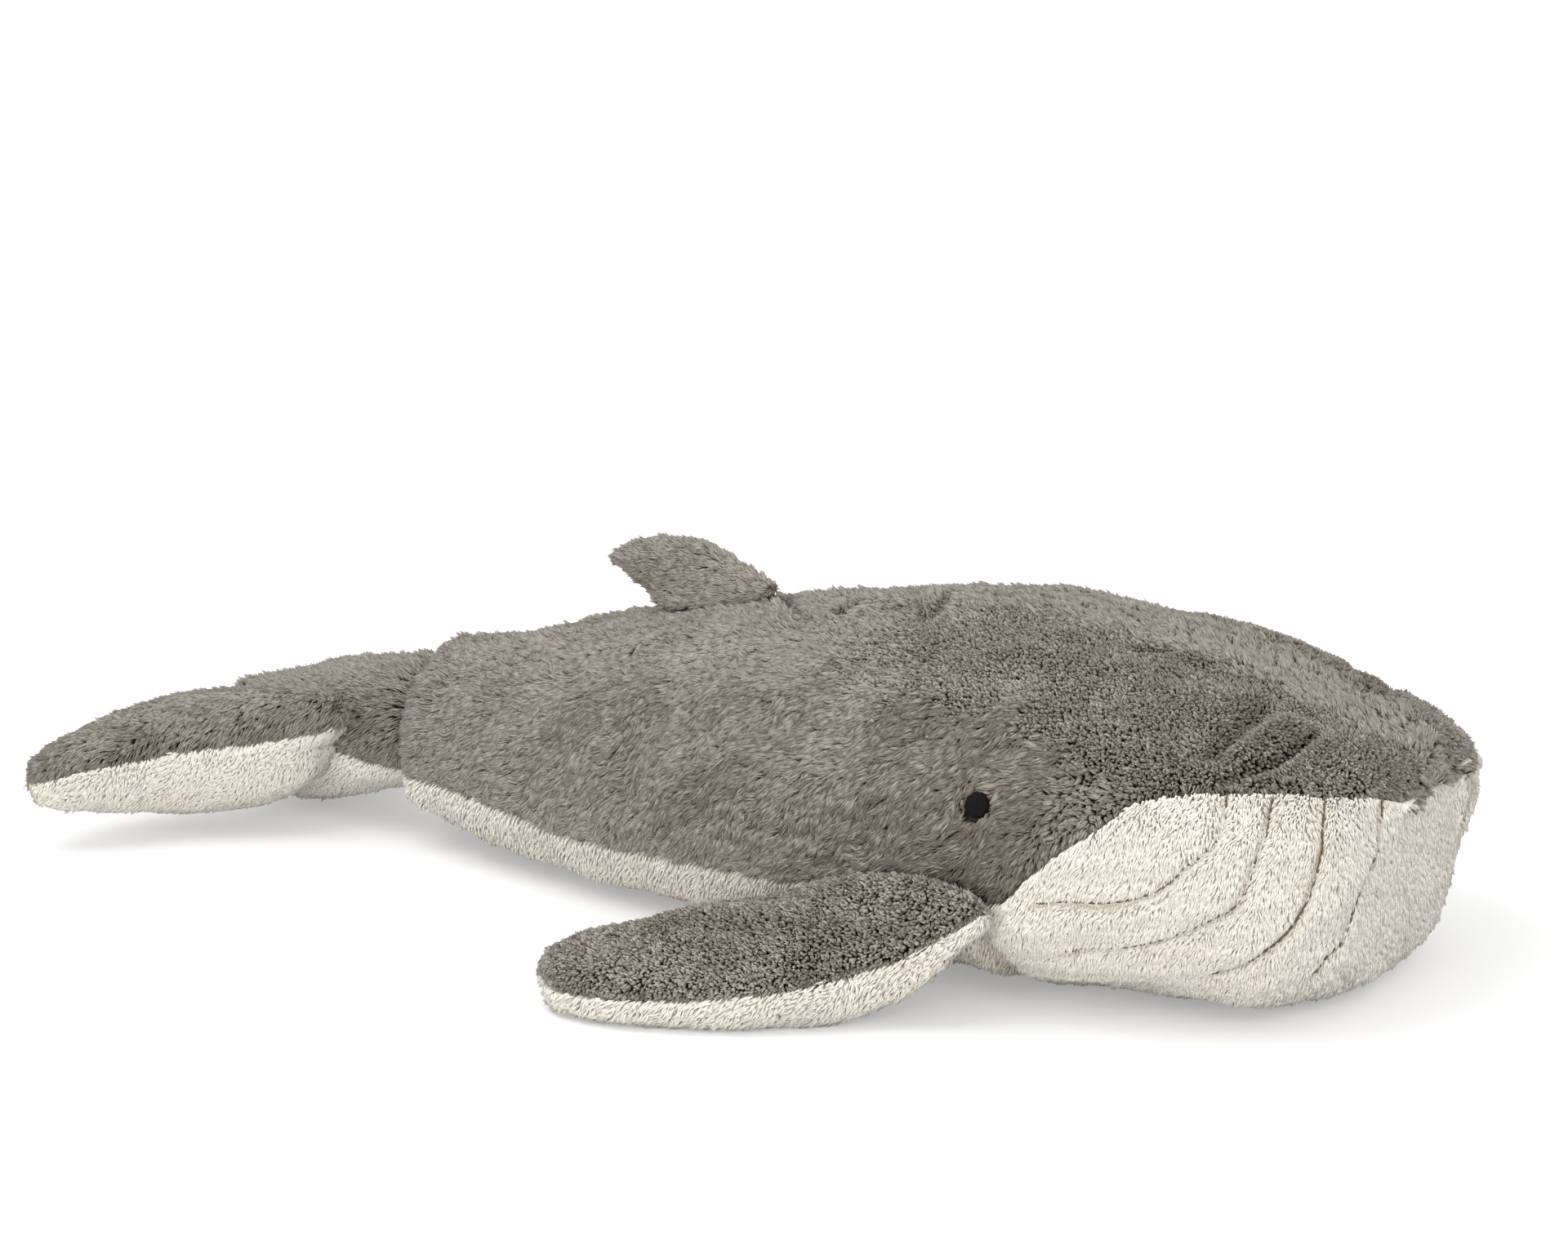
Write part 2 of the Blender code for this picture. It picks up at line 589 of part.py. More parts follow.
def pleat_thread(number, side, material, collection):
    """The dark thread that holds one of the throat's pleats."""
    name = ("pleat_thread_right_" if side == RIGHT else "pleat_thread_left_") + str(number + 1)
    curve = bpy.data.curves.new(name, "CURVE")
    curve.dimensions = "3D"
    curve.bevel_depth = THREAD_RADIUS
    curve.bevel_resolution = 0
    curve.use_fill_caps = True
    route = pleat_route(PLEAT_START_SHARES[number], PLEAT_SWEEP_SHARES[number],
                        PLEAT_END_ANGLES[number], side)
    spline = curve.splines.new("POLY")
    spline.points.add(len(route) - 1)
    for point, place in zip(spline.points, route):
        point.co = (place.x, place.y, place.z, 1)
    curve.materials.append(material)
    item = bpy.data.objects.new(name, curve)
    collection.objects.link(item)
    return item


def pile_material(name, colour, roughness):
    material = bpy.data.materials.new(name)
    material.use_nodes = True
    shader = material.node_tree.nodes["Principled BSDF"]
    shader.inputs["Base Color"].default_value = (*colour, 1)
    shader.inputs["Roughness"].default_value = roughness
    shader.inputs["Metallic"].default_value = 0
    return material


def clear_scene():
    for item in list(bpy.data.objects):
        bpy.data.objects.remove(item, do_unlink=True)


def new_collection(name):
    collection = bpy.data.collections.new(name)
    bpy.context.scene.collection.children.link(collection)
    return collection


def build():
    clear_scene()
    whale = new_collection("plush_whale")
    cutters = new_collection("cutters")
    grey = pile_material("grey_pile", GREY_PILE, PILE_ROUGHNESS)
    cream = pile_material("cream_pile", CREAM_PILE, PILE_ROUGHNESS)
    fibre = pile_material("stuffing_fibre", WHITE_FIBRE, FIBRE_ROUGHNESS)
    black = pile_material("black_thread", BLACK_THREAD, THREAD_ROUGHNESS)
    brown = pile_material("brown_thread", BROWN_THREAD, THREAD_ROUGHNESS)

    backs = [back_panel(side, grey, whale) for side in (RIGHT, LEFT)]
    half_gap = SEAM_GAP / 2 / BODY_LENGTH
    belly = under_panel("belly_panel", 0.0, THROAT_START_SHARE - half_gap, cream, whale)
    throat = under_panel("throat_panel", THROAT_START_SHARE + half_gap, 1.0, cream, whale)
    filling = body_stuffing(fibre, whale)
    for side in (RIGHT, LEFT):
        eye(side, black, whale)
        for number in range(len(PLEAT_START_SHARES)):
            pleat_thread(number, side, brown, whale)

    tail = tail_limb()
    tail_hinge = tail.hinge(whale)
    stock = [tail.panel("tail_top_panel", 0, 180, 1, grey, whale, tail_hinge),
             tail.panel("tail_under_panel", 180, 360, -1, cream, whale, tail_hinge),
             tail.stuffing("tail_stuffing", fibre, whale, tail_hinge)]
    subtract(filling, tail.cutter(cutters, tail_hinge))

    for side in (RIGHT, LEFT):
        fluke = fluke_limb(side, tail)
        hinge = fluke.hinge(whale, tail_hinge)
        fluke.panel(fluke.name + "_top_panel", 0, 180, 1, grey, whale, hinge)
        fluke.panel(fluke.name + "_under_panel", 180, 360, -1, cream, whale, hinge)
        fluke.stuffing(fluke.name + "_stuffing", fibre, whale, hinge)
        seat = fluke.cutter(cutters, hinge)
        for piece in stock:
            subtract(piece, seat)

        fin = pectoral_limb(side)
        hinge = fin.hinge(whale)
        fin.panel(fin.name + "_top_panel", 0, 180, 1, grey, whale, hinge)
        fin.panel(fin.name + "_under_panel", 180, 360, -1, cream, whale, hinge)
        fin.stuffing(fin.name + "_stuffing", fibre, whale, hinge)
        seat = fin.cutter(cutters, hinge)
        for piece in (backs[0 if side == RIGHT else 1], belly, throat, filling):
            subtract(piece, seat)

    dorsal = dorsal_limb()
    hinge = dorsal.hinge(whale)
    dorsal.panel("dorsal_right_panel", 0, 180, 1, grey, whale, hinge)
    dorsal.panel("dorsal_left_panel", 180, 360, -1, grey, whale, hinge)
    dorsal.stuffing("dorsal_stuffing", fibre, whale, hinge)
    seat = dorsal.cutter(cutters, hinge)
    for piece in backs:
        subtract(piece, seat)


build()
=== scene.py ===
"""The looks of a stuffed long-pile plush whale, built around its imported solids.

Every cushion is a closed padded form, and the pile of each sewn panel stands on
it as thousands of small closed locks. The head points along +X, the whale's left
side is +Y and the floor is z = 0. All lengths are in metres.
"""

import json
import logging
import math
from collections.abc import Callable, Sequence
from dataclasses import dataclass, field, replace
from enum import Enum
from functools import partialmethod

import bmesh
import bpy
import numpy as np
from mathutils import Matrix, Vector
from mathutils.bvhtree import BVHTree

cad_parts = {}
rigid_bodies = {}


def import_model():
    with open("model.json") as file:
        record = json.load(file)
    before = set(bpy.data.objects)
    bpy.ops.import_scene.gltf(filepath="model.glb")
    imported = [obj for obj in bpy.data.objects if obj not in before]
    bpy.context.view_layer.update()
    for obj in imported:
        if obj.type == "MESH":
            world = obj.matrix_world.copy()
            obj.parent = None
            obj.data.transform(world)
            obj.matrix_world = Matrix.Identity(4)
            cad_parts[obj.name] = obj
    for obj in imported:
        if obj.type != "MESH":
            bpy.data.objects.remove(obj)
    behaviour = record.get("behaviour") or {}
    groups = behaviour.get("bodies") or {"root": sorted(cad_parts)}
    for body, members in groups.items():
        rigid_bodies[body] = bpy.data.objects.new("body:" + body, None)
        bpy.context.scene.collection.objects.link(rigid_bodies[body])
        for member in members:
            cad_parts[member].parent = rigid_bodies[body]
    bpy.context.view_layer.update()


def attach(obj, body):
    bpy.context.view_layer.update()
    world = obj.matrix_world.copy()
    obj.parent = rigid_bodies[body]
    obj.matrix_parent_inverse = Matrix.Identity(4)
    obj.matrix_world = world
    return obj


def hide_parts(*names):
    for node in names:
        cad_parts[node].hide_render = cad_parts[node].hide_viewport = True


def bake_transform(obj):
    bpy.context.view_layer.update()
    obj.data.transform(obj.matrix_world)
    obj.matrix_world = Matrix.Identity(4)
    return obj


LOG = logging.getLogger("plush_whale")
MM = 0.001
WELD = 1e-6
FLOOR_CLEARANCE = 0.2 * MM
FULL_TURN = 360.0
MAX_ROOT_DEPTH = 0.03
MAX_CROSSINGS = 8
TINY = 1e-15
SKEW = Vector((0.37, 0.61, 0.70)).normalized()

# One number or one point in space for each place
Rows = np.ndarray
Point = tuple[float, float, float]
Colour = tuple[float, float, float]
Region = Callable[[Rows, Rows, Rows], Rows]


class Side(Enum):
    """A side of the whale, valued by the sign of its y."""

    RIGHT = -1
    LEFT = 1

    def __str__(self) -> str:
        """Name the side as the nodes do."""
        return self.name.lower()

    def turned(self, angles: Rows) -> Rows:
        """Bring section angles of the right side to this side."""
        return angles if self is Side.RIGHT else 180 - angles


def folded(angles: Rows) -> Rows:
    """Give the angles' likes on the right side."""
    return np.where(angles > 90, 180 - angles, angles)


def unit(vectors: Rows) -> Rows:
    """Scale rows of vectors to length one."""
    return vectors / np.maximum(np.linalg.norm(vectors, axis=-1, keepdims=True), 1e-12)


def eased(value: Rows, low: float, high: float) -> Rows:
    """Rise smoothly from nothing at low to one at high."""
    t = np.clip((value - low) / (high - low), 0.0, 1.0)
    return t * t * (3 - 2 * t)


def slow_noise(points: Rows, size: float, seed: int) -> Rows:
    """A smooth waviness in space, the same on every run.

    Args:
        points: Rows of places.
        size: The length of its longest wave.
        seed: Which waviness this is.

    Returns:
        One number for each place, mostly between -1 and 1.
    """
    rng = np.random.default_rng(seed)
    total = np.zeros(len(points))
    for octave in range(7):
        wave = unit(rng.normal(size=3)) * (2 * math.pi / size) * (1 + 0.35 * octave)
        total += np.sin(points @ wave + rng.uniform(0, 2 * math.pi)) / 3.2
    return total


@dataclass(frozen=True)
class ShareTable:
    """A smooth curve through a table of shares."""

    stations: tuple[float, ...]
    shares: tuple[float, ...]

    def at(self, where: Rows) -> Rows:
        """Read the curve.

        Args:
            where: Stations, held to the table's range.

        Returns:
            The share at each station.
        """
        x, y = np.asarray(self.stations), np.asarray(self.shares, float)
        widths = np.diff(x)
        slopes = np.diff(y) / widths
        inner = (slopes[:-1] * widths[1:] + slopes[1:] * widths[:-1]) / (widths[:-1] + widths[1:])
        tangents = np.concatenate(([slopes[0]], inner, [slopes[-1]]))
        where = np.clip(where, x[0], x[-1])
        i = np.clip(np.searchsorted(x, where, side="right") - 1, 0, len(x) - 2)
        width = widths[i]
        t = (where - x[i]) / width
        return (y[i] * (1 + 2 * t) * (1 - t) ** 2 + tangents[i] * width * t * (1 - t) ** 2
                + y[i + 1] * t * t * (3 - 2 * t) + tangents[i + 1] * width * t * t * (t - 1))


@dataclass(frozen=True)
class Crease:
    """A line along which the skin of the body is drawn in."""

    route: tuple[tuple[float, float], ...]
    depth: float
    width: float
    fade: float = 0.08
    sides: tuple[Side, ...] = (Side.RIGHT, Side.LEFT)
    points_per_leg: int = 7

    def spread(self) -> tuple[Rows, Rows]:
        """Read the stations and the section angles of close points along the route."""
        knots = np.linspace(0, 1, len(self.route))
        fine = np.linspace(0, 1, (len(self.route) - 1) * self.points_per_leg + 1)
        return tuple(ShareTable(tuple(knots), tuple(place[i] for place in self.route)).at(fine)
                     for i in (0, 1))


class Form:
    """A closed rounded form, read by a place along it and an angle around it."""

    along_step = 0.0012
    around_step = 0.4
    handed = 1.0
    first = 0.0
    last = 1.0

    def plain(self, along: Rows, around: Rows) -> Rows:
        """Give the points of the bare form."""
        raise NotImplementedError

    def relief(self, points: Rows, along: Rows, around: Rows) -> Rows:
        """Give how far the skin stands proud of the bare form."""
        raise NotImplementedError

    def drawn_in(self, points: Rows) -> Rows:
        """Give how deep the creases draw the skin in."""
        return np.zeros(len(points))

    def outwards(self, along: Rows, around: Rows) -> Rows:
        """Give rough outward directions across the section, for the relief."""
        raise NotImplementedError

    def point(self, along: Rows, around: Rows) -> Rows:
        """Give the points of the skin, with its creases and seams."""
        bare = self.plain(along, around)
        return bare + self.outwards(along, around) * self.relief(bare, along, around)[:, None]

    def frames(self, along: Rows, around: Rows) -> tuple[Rows, Rows]:
        """Give points of the skin and the directions that face out of it there.

        Args:
            along: Places along the form.
            around: Angles around it, in degrees.

        Returns:
            The points and the unit normals.
        """
        low = np.clip(along - self.along_step, self.first, self.last)
        high = np.clip(along + self.along_step, self.first, self.last)
        lengthwise = self.point(high, around) - self.point(low, around)
        crosswise = (self.point(along, around + self.around_step)
                     - self.point(along, around - self.around_step))
        normal = unit(np.cross(lengthwise, crosswise)) * self.handed
        return self.point(along, around), normal


BODY_STATIONS = (0.0, 0.06, 0.18, 0.33, 0.48, 0.61, 0.71, 0.79, 0.86, 0.92, 0.96, 0.985, 1.0)


def body_table(*shares: float) -> ShareTable:
    """Pair a row of shares with the body's stations."""
    return ShareTable(BODY_STATIONS, shares)


def seam_table(*front: float) -> ShareTable:
    """Give the angles of a side seam, with its own way round the snout."""
    return ShareTable(
        (0.0, 0.07, 0.13, 0.19, 0.245, 0.30, 0.40, 0.49, 0.59, 0.67, 0.725, 0.745, 0.771, 0.801,
         0.831, 0.86, 0.90, 0.935, 0.965, 0.985, 1.0),
        (-9, -6, -6, -10, -13, -13, -12, -11, -8, -5, -4, 1, 8, 16, 26.5, *front))


@dataclass
class BodyForm(Form):
    """The body cushion, from the tail crease to the snout."""

    nose_x: float = 0.2641
    length: float = 0.410
    width: float = 0.205
    height: float = 0.120
    upper_roundness: float = 2.0
    lower_roundness: float = 2.6
    roll: float = 13 * MM
    snub: float = 3 * MM
    snub_reach: tuple[float, float] = (0.955, 1.0)
    tuck: float = 4.5 * MM
    tuck_reach: tuple[float, float] = (0.90, 0.995)
    tuck_rise: tuple[float, float] = (0.10, 0.50)
    waviness: float = 1.2 * MM
    wrinkles: float = 0.35
    seam_depth: float = 1.6 * MM
    seam_width: float = 2.6 * MM
    spine_depth: float = 0.5
    throat_start: float = 0.71
    half_width: ShareTable = body_table(
        0.30, 0.38, 0.53, 0.70, 0.84, 0.95, 1.0, 0.985, 0.93, 0.82, 0.67, 0.52, 0.32)
    top: ShareTable = body_table(
        0.62, 0.66, 0.76, 0.87, 0.96, 1.0, 0.98, 0.94, 0.87, 0.79, 0.74, 0.70, 0.61)
    bottom: ShareTable = body_table(
        0.10, 0.065, 0.022, 0.0, 0.0, 0.0, 0.0, 0.0, 0.0, 0.008, 0.07, 0.19, 0.61)
    widest: ShareTable = body_table(
        0.28, 0.29, 0.30, 0.33, 0.36, 0.39, 0.41, 0.46, 0.50, 0.52, 0.54, 0.57, 0.61)
    seams: dict[Side, ShareTable] = field(default_factory=lambda: {
        Side.RIGHT: seam_table(31, 36, 38.5, 39.5, 41, 43),
        Side.LEFT: seam_table(29, 29, 25, 15, 2, -8)})
    creases: tuple[Crease, ...] = ()

    def __post_init__(self) -> None:
        """Keep the places of the creases as points in space."""
        self.crease_x = self.nose_x - self.length
        self.crease_points: list[tuple[Crease, Rows]] = []
        for crease in self.creases:
            stations, angles = crease.spread()
            for side in crease.sides:
                self.crease_points.append((crease, self.plain(stations, side.turned(angles))))

    def plain(self, along: Rows, around: Rows) -> Rows:
        """Give points of the swelling, tapering section, rolled in at the tail crease."""
        widest = self.widest.at(along) * self.height
        end = np.clip(1 - along * self.length / self.roll, 0, 1)
        rolled = self.roll * (1 - np.sqrt(1 - end**2))
        half_width = self.half_width.at(along) * self.width / 2 - rolled
        above = self.top.at(along) * self.height - widest - rolled
        below = widest - self.bottom.at(along) * self.height - rolled
        across, up = np.cos(np.radians(around)), np.sin(np.radians(around))
        power = 2 / np.where(up >= 0, self.upper_roundness, self.lower_roundness)
        reach = np.where(up >= 0, above, below)
        set_back = (self.snub * eased(along, *self.snub_reach)
                    + self.tuck * eased(along, *self.tuck_reach) * eased(-up, *self.tuck_rise))
        return np.stack((
            self.crease_x + self.length * along - set_back,
            -np.copysign(np.abs(across) ** power, across) * half_width,
            np.maximum(widest + np.copysign(np.abs(up) ** power, up) * reach, 0),
        ), axis=-1)

    def outwards(self, along: Rows, around: Rows) -> Rows:
        """Give directions out of the section."""
        radians = np.radians(around)
        return np.stack((np.zeros_like(radians), -np.cos(radians), np.sin(radians)), axis=-1)

    def seam(self, side: Side) -> Callable[[Rows], Rows]:
        """Give the curve of a side seam's angles, by the place along the body."""
        return lambda along: side.turned(self.seams[side].at(along))

    def above_seam(self, along: Rows, around: Rows) -> Rows:
        """Give how many degrees a place lies above its side's seam."""
        return np.where(around > 90, 180 - around - self.seams[Side.LEFT].at(along),
                        around - self.seams[Side.RIGHT].at(along))

    def seam_distance(self, along: Rows, around: Rows) -> Rows:
        """Give roughly how far a place lies from the nearest side seam."""
        radius = self.half_width.at(along) * self.width / 2
        return np.abs(np.radians(self.above_seam(along, around))) * radius * 0.8

    def relief(self, points: Rows, along: Rows, around: Rows) -> Rows:
        """Draw in the seams and creases, and let the stuffing swell a little unevenly."""
        gap = self.seam_distance(along, around)
        rise = -self.seam_depth * np.exp(-(gap / self.seam_width) ** 2)
        spine = np.abs(np.radians(around - 90)) * self.height * 0.6
        rise -= self.spine_depth * self.seam_depth * np.exp(-(spine / self.seam_width) ** 2)
        rise += self.waviness * (slow_noise(points, 0.075, 5)
                                 + self.wrinkles * slow_noise(points, 0.024, 6))
        return rise - self.drawn_in(points)

    def drawn_in(self, points: Rows) -> Rows:
        """Give how deep the creases draw the skin in."""
        sunk = np.zeros(len(points))
        for crease, route in self.crease_points:
            near = np.all(np.abs(points - route.mean(0)) < np.ptp(route, axis=0) / 2
                          + 3 * crease.width, axis=1)
            if near.any():
                distance, share = route_distance(points[near], route)
                held = eased(share, -0.02, crease.fade) * (1 - eased(share, 1 - crease.fade, 1.02))
                sunk[near] += crease.depth * held * np.exp(-(distance / crease.width) ** 2)
        return sunk


def route_distance(points: Rows, route: Rows) -> tuple[Rows, Rows]:
    """Measure how far places lie from a line of close points.

    Args:
        points: Rows of places.
        route: Rows of points along the line.

    Returns:
        The distance of each place to the line, and the share of the line passed there.
    """
    best = np.full(len(points), np.inf)
    passed = np.zeros(len(points))
    for leg_number, (start, end) in enumerate(zip(route[:-1], route[1:])):
        leg = end - start
        share = np.clip((points - start) @ leg / max(leg @ leg, 1e-12), 0, 1)
        distance = np.linalg.norm(points - start - share[:, None] * leg, axis=1)
        passed = np.where(distance < best, (leg_number + share) / (len(route) - 1), passed)
        best = np.minimum(best, distance)
    return best, passed


LIMB_STATIONS = (0.0, 0.15, 0.3, 0.45, 0.6, 0.75, 0.9, 0.97, 1.0)


@dataclass(frozen=True)
class Course:
    """A measure that changes along a limb."""

    scale: float
    table: ShareTable

    def at(self, where: Rows) -> Rows:
        """Read the measure."""
        return self.scale * self.table.at(where)


def course(scale: float, *shares: float) -> Course:
    """Pair a measure with its shares at a limb's stations."""
    return Course(scale, ShareTable(LIMB_STATIONS, shares))


LEVEL = course(0, *(0,) * len(LIMB_STATIONS))


@dataclass
class LimbForm(Form):
    """A cushion on a hinge: a round root let into its seat, and a tapering blade."""

    pivot: Point
    axis: Point
    crown_axis: Point
    side: Side
    radius: float
    chord: Course
    crown: Course
    keel: Course
    span: Course
    sweep: Course = LEVEL
    drop: Course = LEVEL
    turn: Course = LEVEL
    tilt: Course = LEVEL
    seam: Course = LEVEL
    back_share: float = 1.0
    keel_roundness: float = 2.0
    rake: float = 0.0
    rake_end: float = 0.45
    seam_depth: float = 1.3 * MM
    seam_spread: float = 9.0
    waviness: float = 0.4 * MM

    along_step = 0.004
    around_step = 1.5
    first = -1.0

    def __post_init__(self) -> None:
        """Work out the limb's own axes."""
        along = unit(np.asarray(self.axis))
        out = unit(np.cross(self.crown_axis, along))
        self.turned = np.stack((along, out, np.cross(along, out)))
        self.handed = float(self.side.value)

    def plain(self, along: Rows, around: Rows) -> Rows:
        """Give points of the root, where the place is below zero, and of the blade."""
        cosine, sine = np.cos(np.radians(around)), np.sin(np.radians(around))
        power = 2 / np.where(sine >= 0, 2.0, self.keel_roundness)
        cosine = np.copysign(np.abs(cosine) ** power, cosine)
        sine = np.copysign(np.abs(sine) ** power, sine)
        at = np.maximum(along, 0)
        turn, tilt = np.radians(self.turn.at(at)), np.radians(self.tilt.at(at))
        chord, crown, keel = (np.maximum(measure.at(at), 0)
                              for measure in (self.chord, self.crown, self.keel))
        depth = np.maximum(-along, 0) * math.pi / 2
        across = chord / 2 * cosine * np.cos(depth)
        rise = np.where(sine >= 0, crown, keel) * sine * np.cos(depth)
        out = self.span.at(at) + across * np.sin(turn)
        lead = self.rake * np.maximum(rise, 0) * np.clip(1 - at / self.rake_end, 0, 1)
        local = np.stack((
            -self.sweep.at(at) + across * np.cos(turn) * np.cos(tilt) + lead,
            self.side.value * (out - self.radius * np.sin(depth)),
            -self.drop.at(at) + across * np.sin(tilt) + rise,
        ), axis=-1)
        return local @ self.turned + np.asarray(self.pivot)

    def outwards(self, along: Rows, around: Rows) -> Rows:
        """Give directions out of the section."""
        cosine, sine = np.cos(np.radians(around)), np.sin(np.radians(around))
        turn = np.radians(self.turn.at(np.maximum(along, 0)))
        crown, chord = self.crown.scale, self.chord.scale
        local = np.stack((cosine * np.cos(turn) * crown / chord,
                          self.side.value * cosine * np.sin(turn) * crown / chord, sine), axis=-1)
        return unit(local) @ self.turned

    def relief(self, points: Rows, along: Rows, around: Rows) -> Rows:
        """Draw in the edge seams, and let the stuffing swell a little unevenly."""
        rise = self.waviness * slow_noise(points, 0.04, 9)
        front, back = self.seams_at(along)
        for seam in (front, back, FULL_TURN + front):
            rise -= self.seam_depth * np.exp(-((around - seam) / self.seam_spread) ** 2)
        return rise * np.clip(8 * (1 - along), 0, 1)

    def seams_at(self, along: Rows) -> tuple[Rows, Rows]:
        """Give the angles of the seams along the front and the back edge."""
        below = self.seam.at(np.maximum(along, 0))
        return -below, 180 + self.back_share * below


# Shader building


class Signal:
    """A number inside a material, which Python's operators can work on."""

    def __init__(self, sheet: "NodeSheet", socket: bpy.types.NodeSocket) -> None:
        """Keep the sheet that the socket's node is on, and the socket."""
        self.sheet = sheet
        self.socket = socket

    def join(self, operation: str, other: "Signal | float", swap: bool = False) -> "Signal":
        """Add a Math node that works on this number and another one.

        Args:
            operation: The Math node's operation.
            other: The second number, or its signal.
            swap: Whether the other one comes first.

        Returns:
            The result.
        """
        pair = (other, self) if swap else (self, other)
        node = self.sheet.node("ShaderNodeMath", {"operation": operation},
                               {i: value for i, value in enumerate(pair)})
        return Signal(self.sheet, node.outputs[0])

    __add__ = partialmethod(join, "ADD")
    __radd__ = partialmethod(join, "ADD", swap=True)
    __sub__ = partialmethod(join, "SUBTRACT")
    __rsub__ = partialmethod(join, "SUBTRACT", swap=True)
    __mul__ = partialmethod(join, "MULTIPLY")
    __rmul__ = partialmethod(join, "MULTIPLY", swap=True)
    __pow__ = partialmethod(join, "POWER")
    above = partialmethod(join, "MAXIMUM")


class NodeSheet:
    """The node tree of one material or world."""

    def __init__(self, tree: bpy.types.NodeTree) -> None:
        """Clear the tree."""
        self.tree = tree
        tree.nodes.clear()

    def node(self, kind: str, settings: dict[str, object] | None = None,
             inputs: dict[str | int, object] | None = None) -> bpy.types.Node:
        """Add a node.

        Args:
            kind: The node's type.
            settings: Its properties, set first. A ramp's stops go under the name stops.
            inputs: Values or links for its sockets, by name or place.

        Returns:
            The node.
        """
        made = self.tree.nodes.new(kind)
        for name, value in (settings or {}).items():
            if name == "stops":
                ramp = made.color_ramp
                while len(ramp.elements) < len(value):
                    ramp.elements.new(0.5)
                for element, (place, colour) in zip(ramp.elements, value):
                    element.position = place
                    element.color = (*colour, 1)
            else:
                setattr(made, name, value)
        for name, value in (inputs or {}).items():
            socket = made.inputs[name]
            if isinstance(value, Signal):
                self.tree.links.new(value.socket, socket)
            elif isinstance(value, bpy.types.NodeSocket):
                self.tree.links.new(value, socket)
            else:
                socket.default_value = value
        return made

    def signal(self, kind: str, settings: dict[str, object] | None = None,
               inputs: dict[str | int, object] | None = None, output: str | int = 0) -> Signal:
        """Add a node and take one of its outputs.

        Args:
            kind: The node's type.
            settings: Its properties.
            inputs: Values or links for its sockets.
            output: The name or place of the output.

        Returns:
            The output.
        """
        return Signal(self, self.node(kind, settings, inputs).outputs[output])

    def ramp(self, factor: Signal, stops: Sequence[tuple[float, Colour]]) -> Signal:
        """Turn a number into a colour by a ramp."""
        return self.signal("ShaderNodeValToRGB", {"stops": stops}, {"Fac": factor})

    def tinted(self, factor: Signal | float, first: object, second: object,
               mode: str = "MIX") -> Signal:
        """Mix two colours.

        Args:
            factor: How much of the second one.
            first: A colour or its signal.
            second: A colour or its signal.
            mode: The way they are mixed.

        Returns:
            The colour.
        """
        pair = [(*c, 1) if isinstance(c, tuple) else c for c in (first, second)]
        return self.signal("ShaderNodeMix", {"data_type": "RGBA", "blend_type": mode},
                           {0: factor, 6: pair[0], 7: pair[1]}, 2)

    def place(self) -> bpy.types.NodeSocket:
        """Give the place on the object."""
        return self.node("ShaderNodeTexCoord").outputs["Object"]

    def bump(self, height: Signal, strength: float, distance: float) -> bpy.types.NodeSocket:
        """Turn a height into a bumpy normal."""
        return self.node("ShaderNodeBump", {}, {
            "Strength": strength, "Distance": distance, "Height": height}).outputs[0]

    def close(self, surface: bpy.types.NodeSocket) -> None:
        """Lead a shader to the material's output."""
        self.node("ShaderNodeOutputMaterial", {}, {"Surface": surface})


def new_material(name: str) -> tuple[bpy.types.Material, NodeSheet]:
    """Make a material with an empty node tree."""
    material = bpy.data.materials.new(name)
    material.use_nodes = True
    return material, NodeSheet(material.node_tree)


@dataclass(frozen=True)
class Finish:
    """The looks of one kind of cloth or thread."""

    name: str
    slot: str

    def paint(self, sheet: NodeSheet) -> dict[str, object]:
        """Give the inputs of the surface's shader."""
        raise NotImplementedError

    def material(self) -> bpy.types.Material:
        """Make the material once, and give the same one afterwards.

        Returns:
            The material.
        """
        made = bpy.data.materials.get(self.name)
        if made is None:
            made, sheet = new_material(self.name)
            shader = sheet.node("ShaderNodeBsdfPrincipled", {}, self.paint(sheet))
            sheet.close(shader.outputs[0])
        return made

    def dress(self, piece: bpy.types.Object, node: str = "") -> None:
        """Give a piece this finish.

        Args:
            piece: The object.
            node: The node that it stands for, if it is one alone.
        """
        piece.data.materials.append(self.material())
        if node:
            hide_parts(node)


@dataclass(frozen=True)
class PileFinish(Finish):
    """Plush pile: locks that are lighter at the tip and darker at the root, the dark roots being
    painted shade deep in the pile.
    """

    dark_stops: tuple[tuple[float, Colour], ...]
    light_stops: tuple[tuple[float, Colour], ...]
    strand_contrast: float
    roughness: float = 0.85
    sheen: float = 0.12
    strands: float = 90.0
    depth: float = 3.4 * MM
    tumble: float = 0.5
    softness: float = 0.0
    uv_map: str = "OFBake"

    def paint(self, sheet: NodeSheet) -> dict[str, object]:
        """Colour the locks. U is each lock's tone and V runs from its root to its tip; the ramps
        darken towards the root as painted shade deep in the pile.

        Args:
            sheet: The material's node tree.

        Returns:
            The shader's inputs.
        """
        place = sheet.signal("ShaderNodeUVMap", {"uv_map": self.uv_map})
        split = sheet.node("ShaderNodeSeparateXYZ", {}, {0: place})
        tone, height = Signal(sheet, split.outputs[0]), Signal(sheet, split.outputs[1])
        spot = sheet.signal("ShaderNodeCombineXYZ", {}, {0: tone * self.strands, 1: height * 1.5})
        strand = sheet.signal("ShaderNodeTexNoise", {"noise_dimensions": "2D"}, {
            "Vector": spot, "Scale": 1.0, "Detail": 1.0}, "Fac")
        level = tone + (strand - 0.5) * self.strand_contrast
        # Up each lock the ramps darken towards the root: painted shade deep in the pile.
        colour = sheet.tinted(level, sheet.ramp(height, self.dark_stops),
                              sheet.ramp(height, self.light_stops))
        return {"Base Color": colour, "Roughness": self.roughness, "Sheen Weight": self.sheen,
                "Specular IOR Level": 0.2}


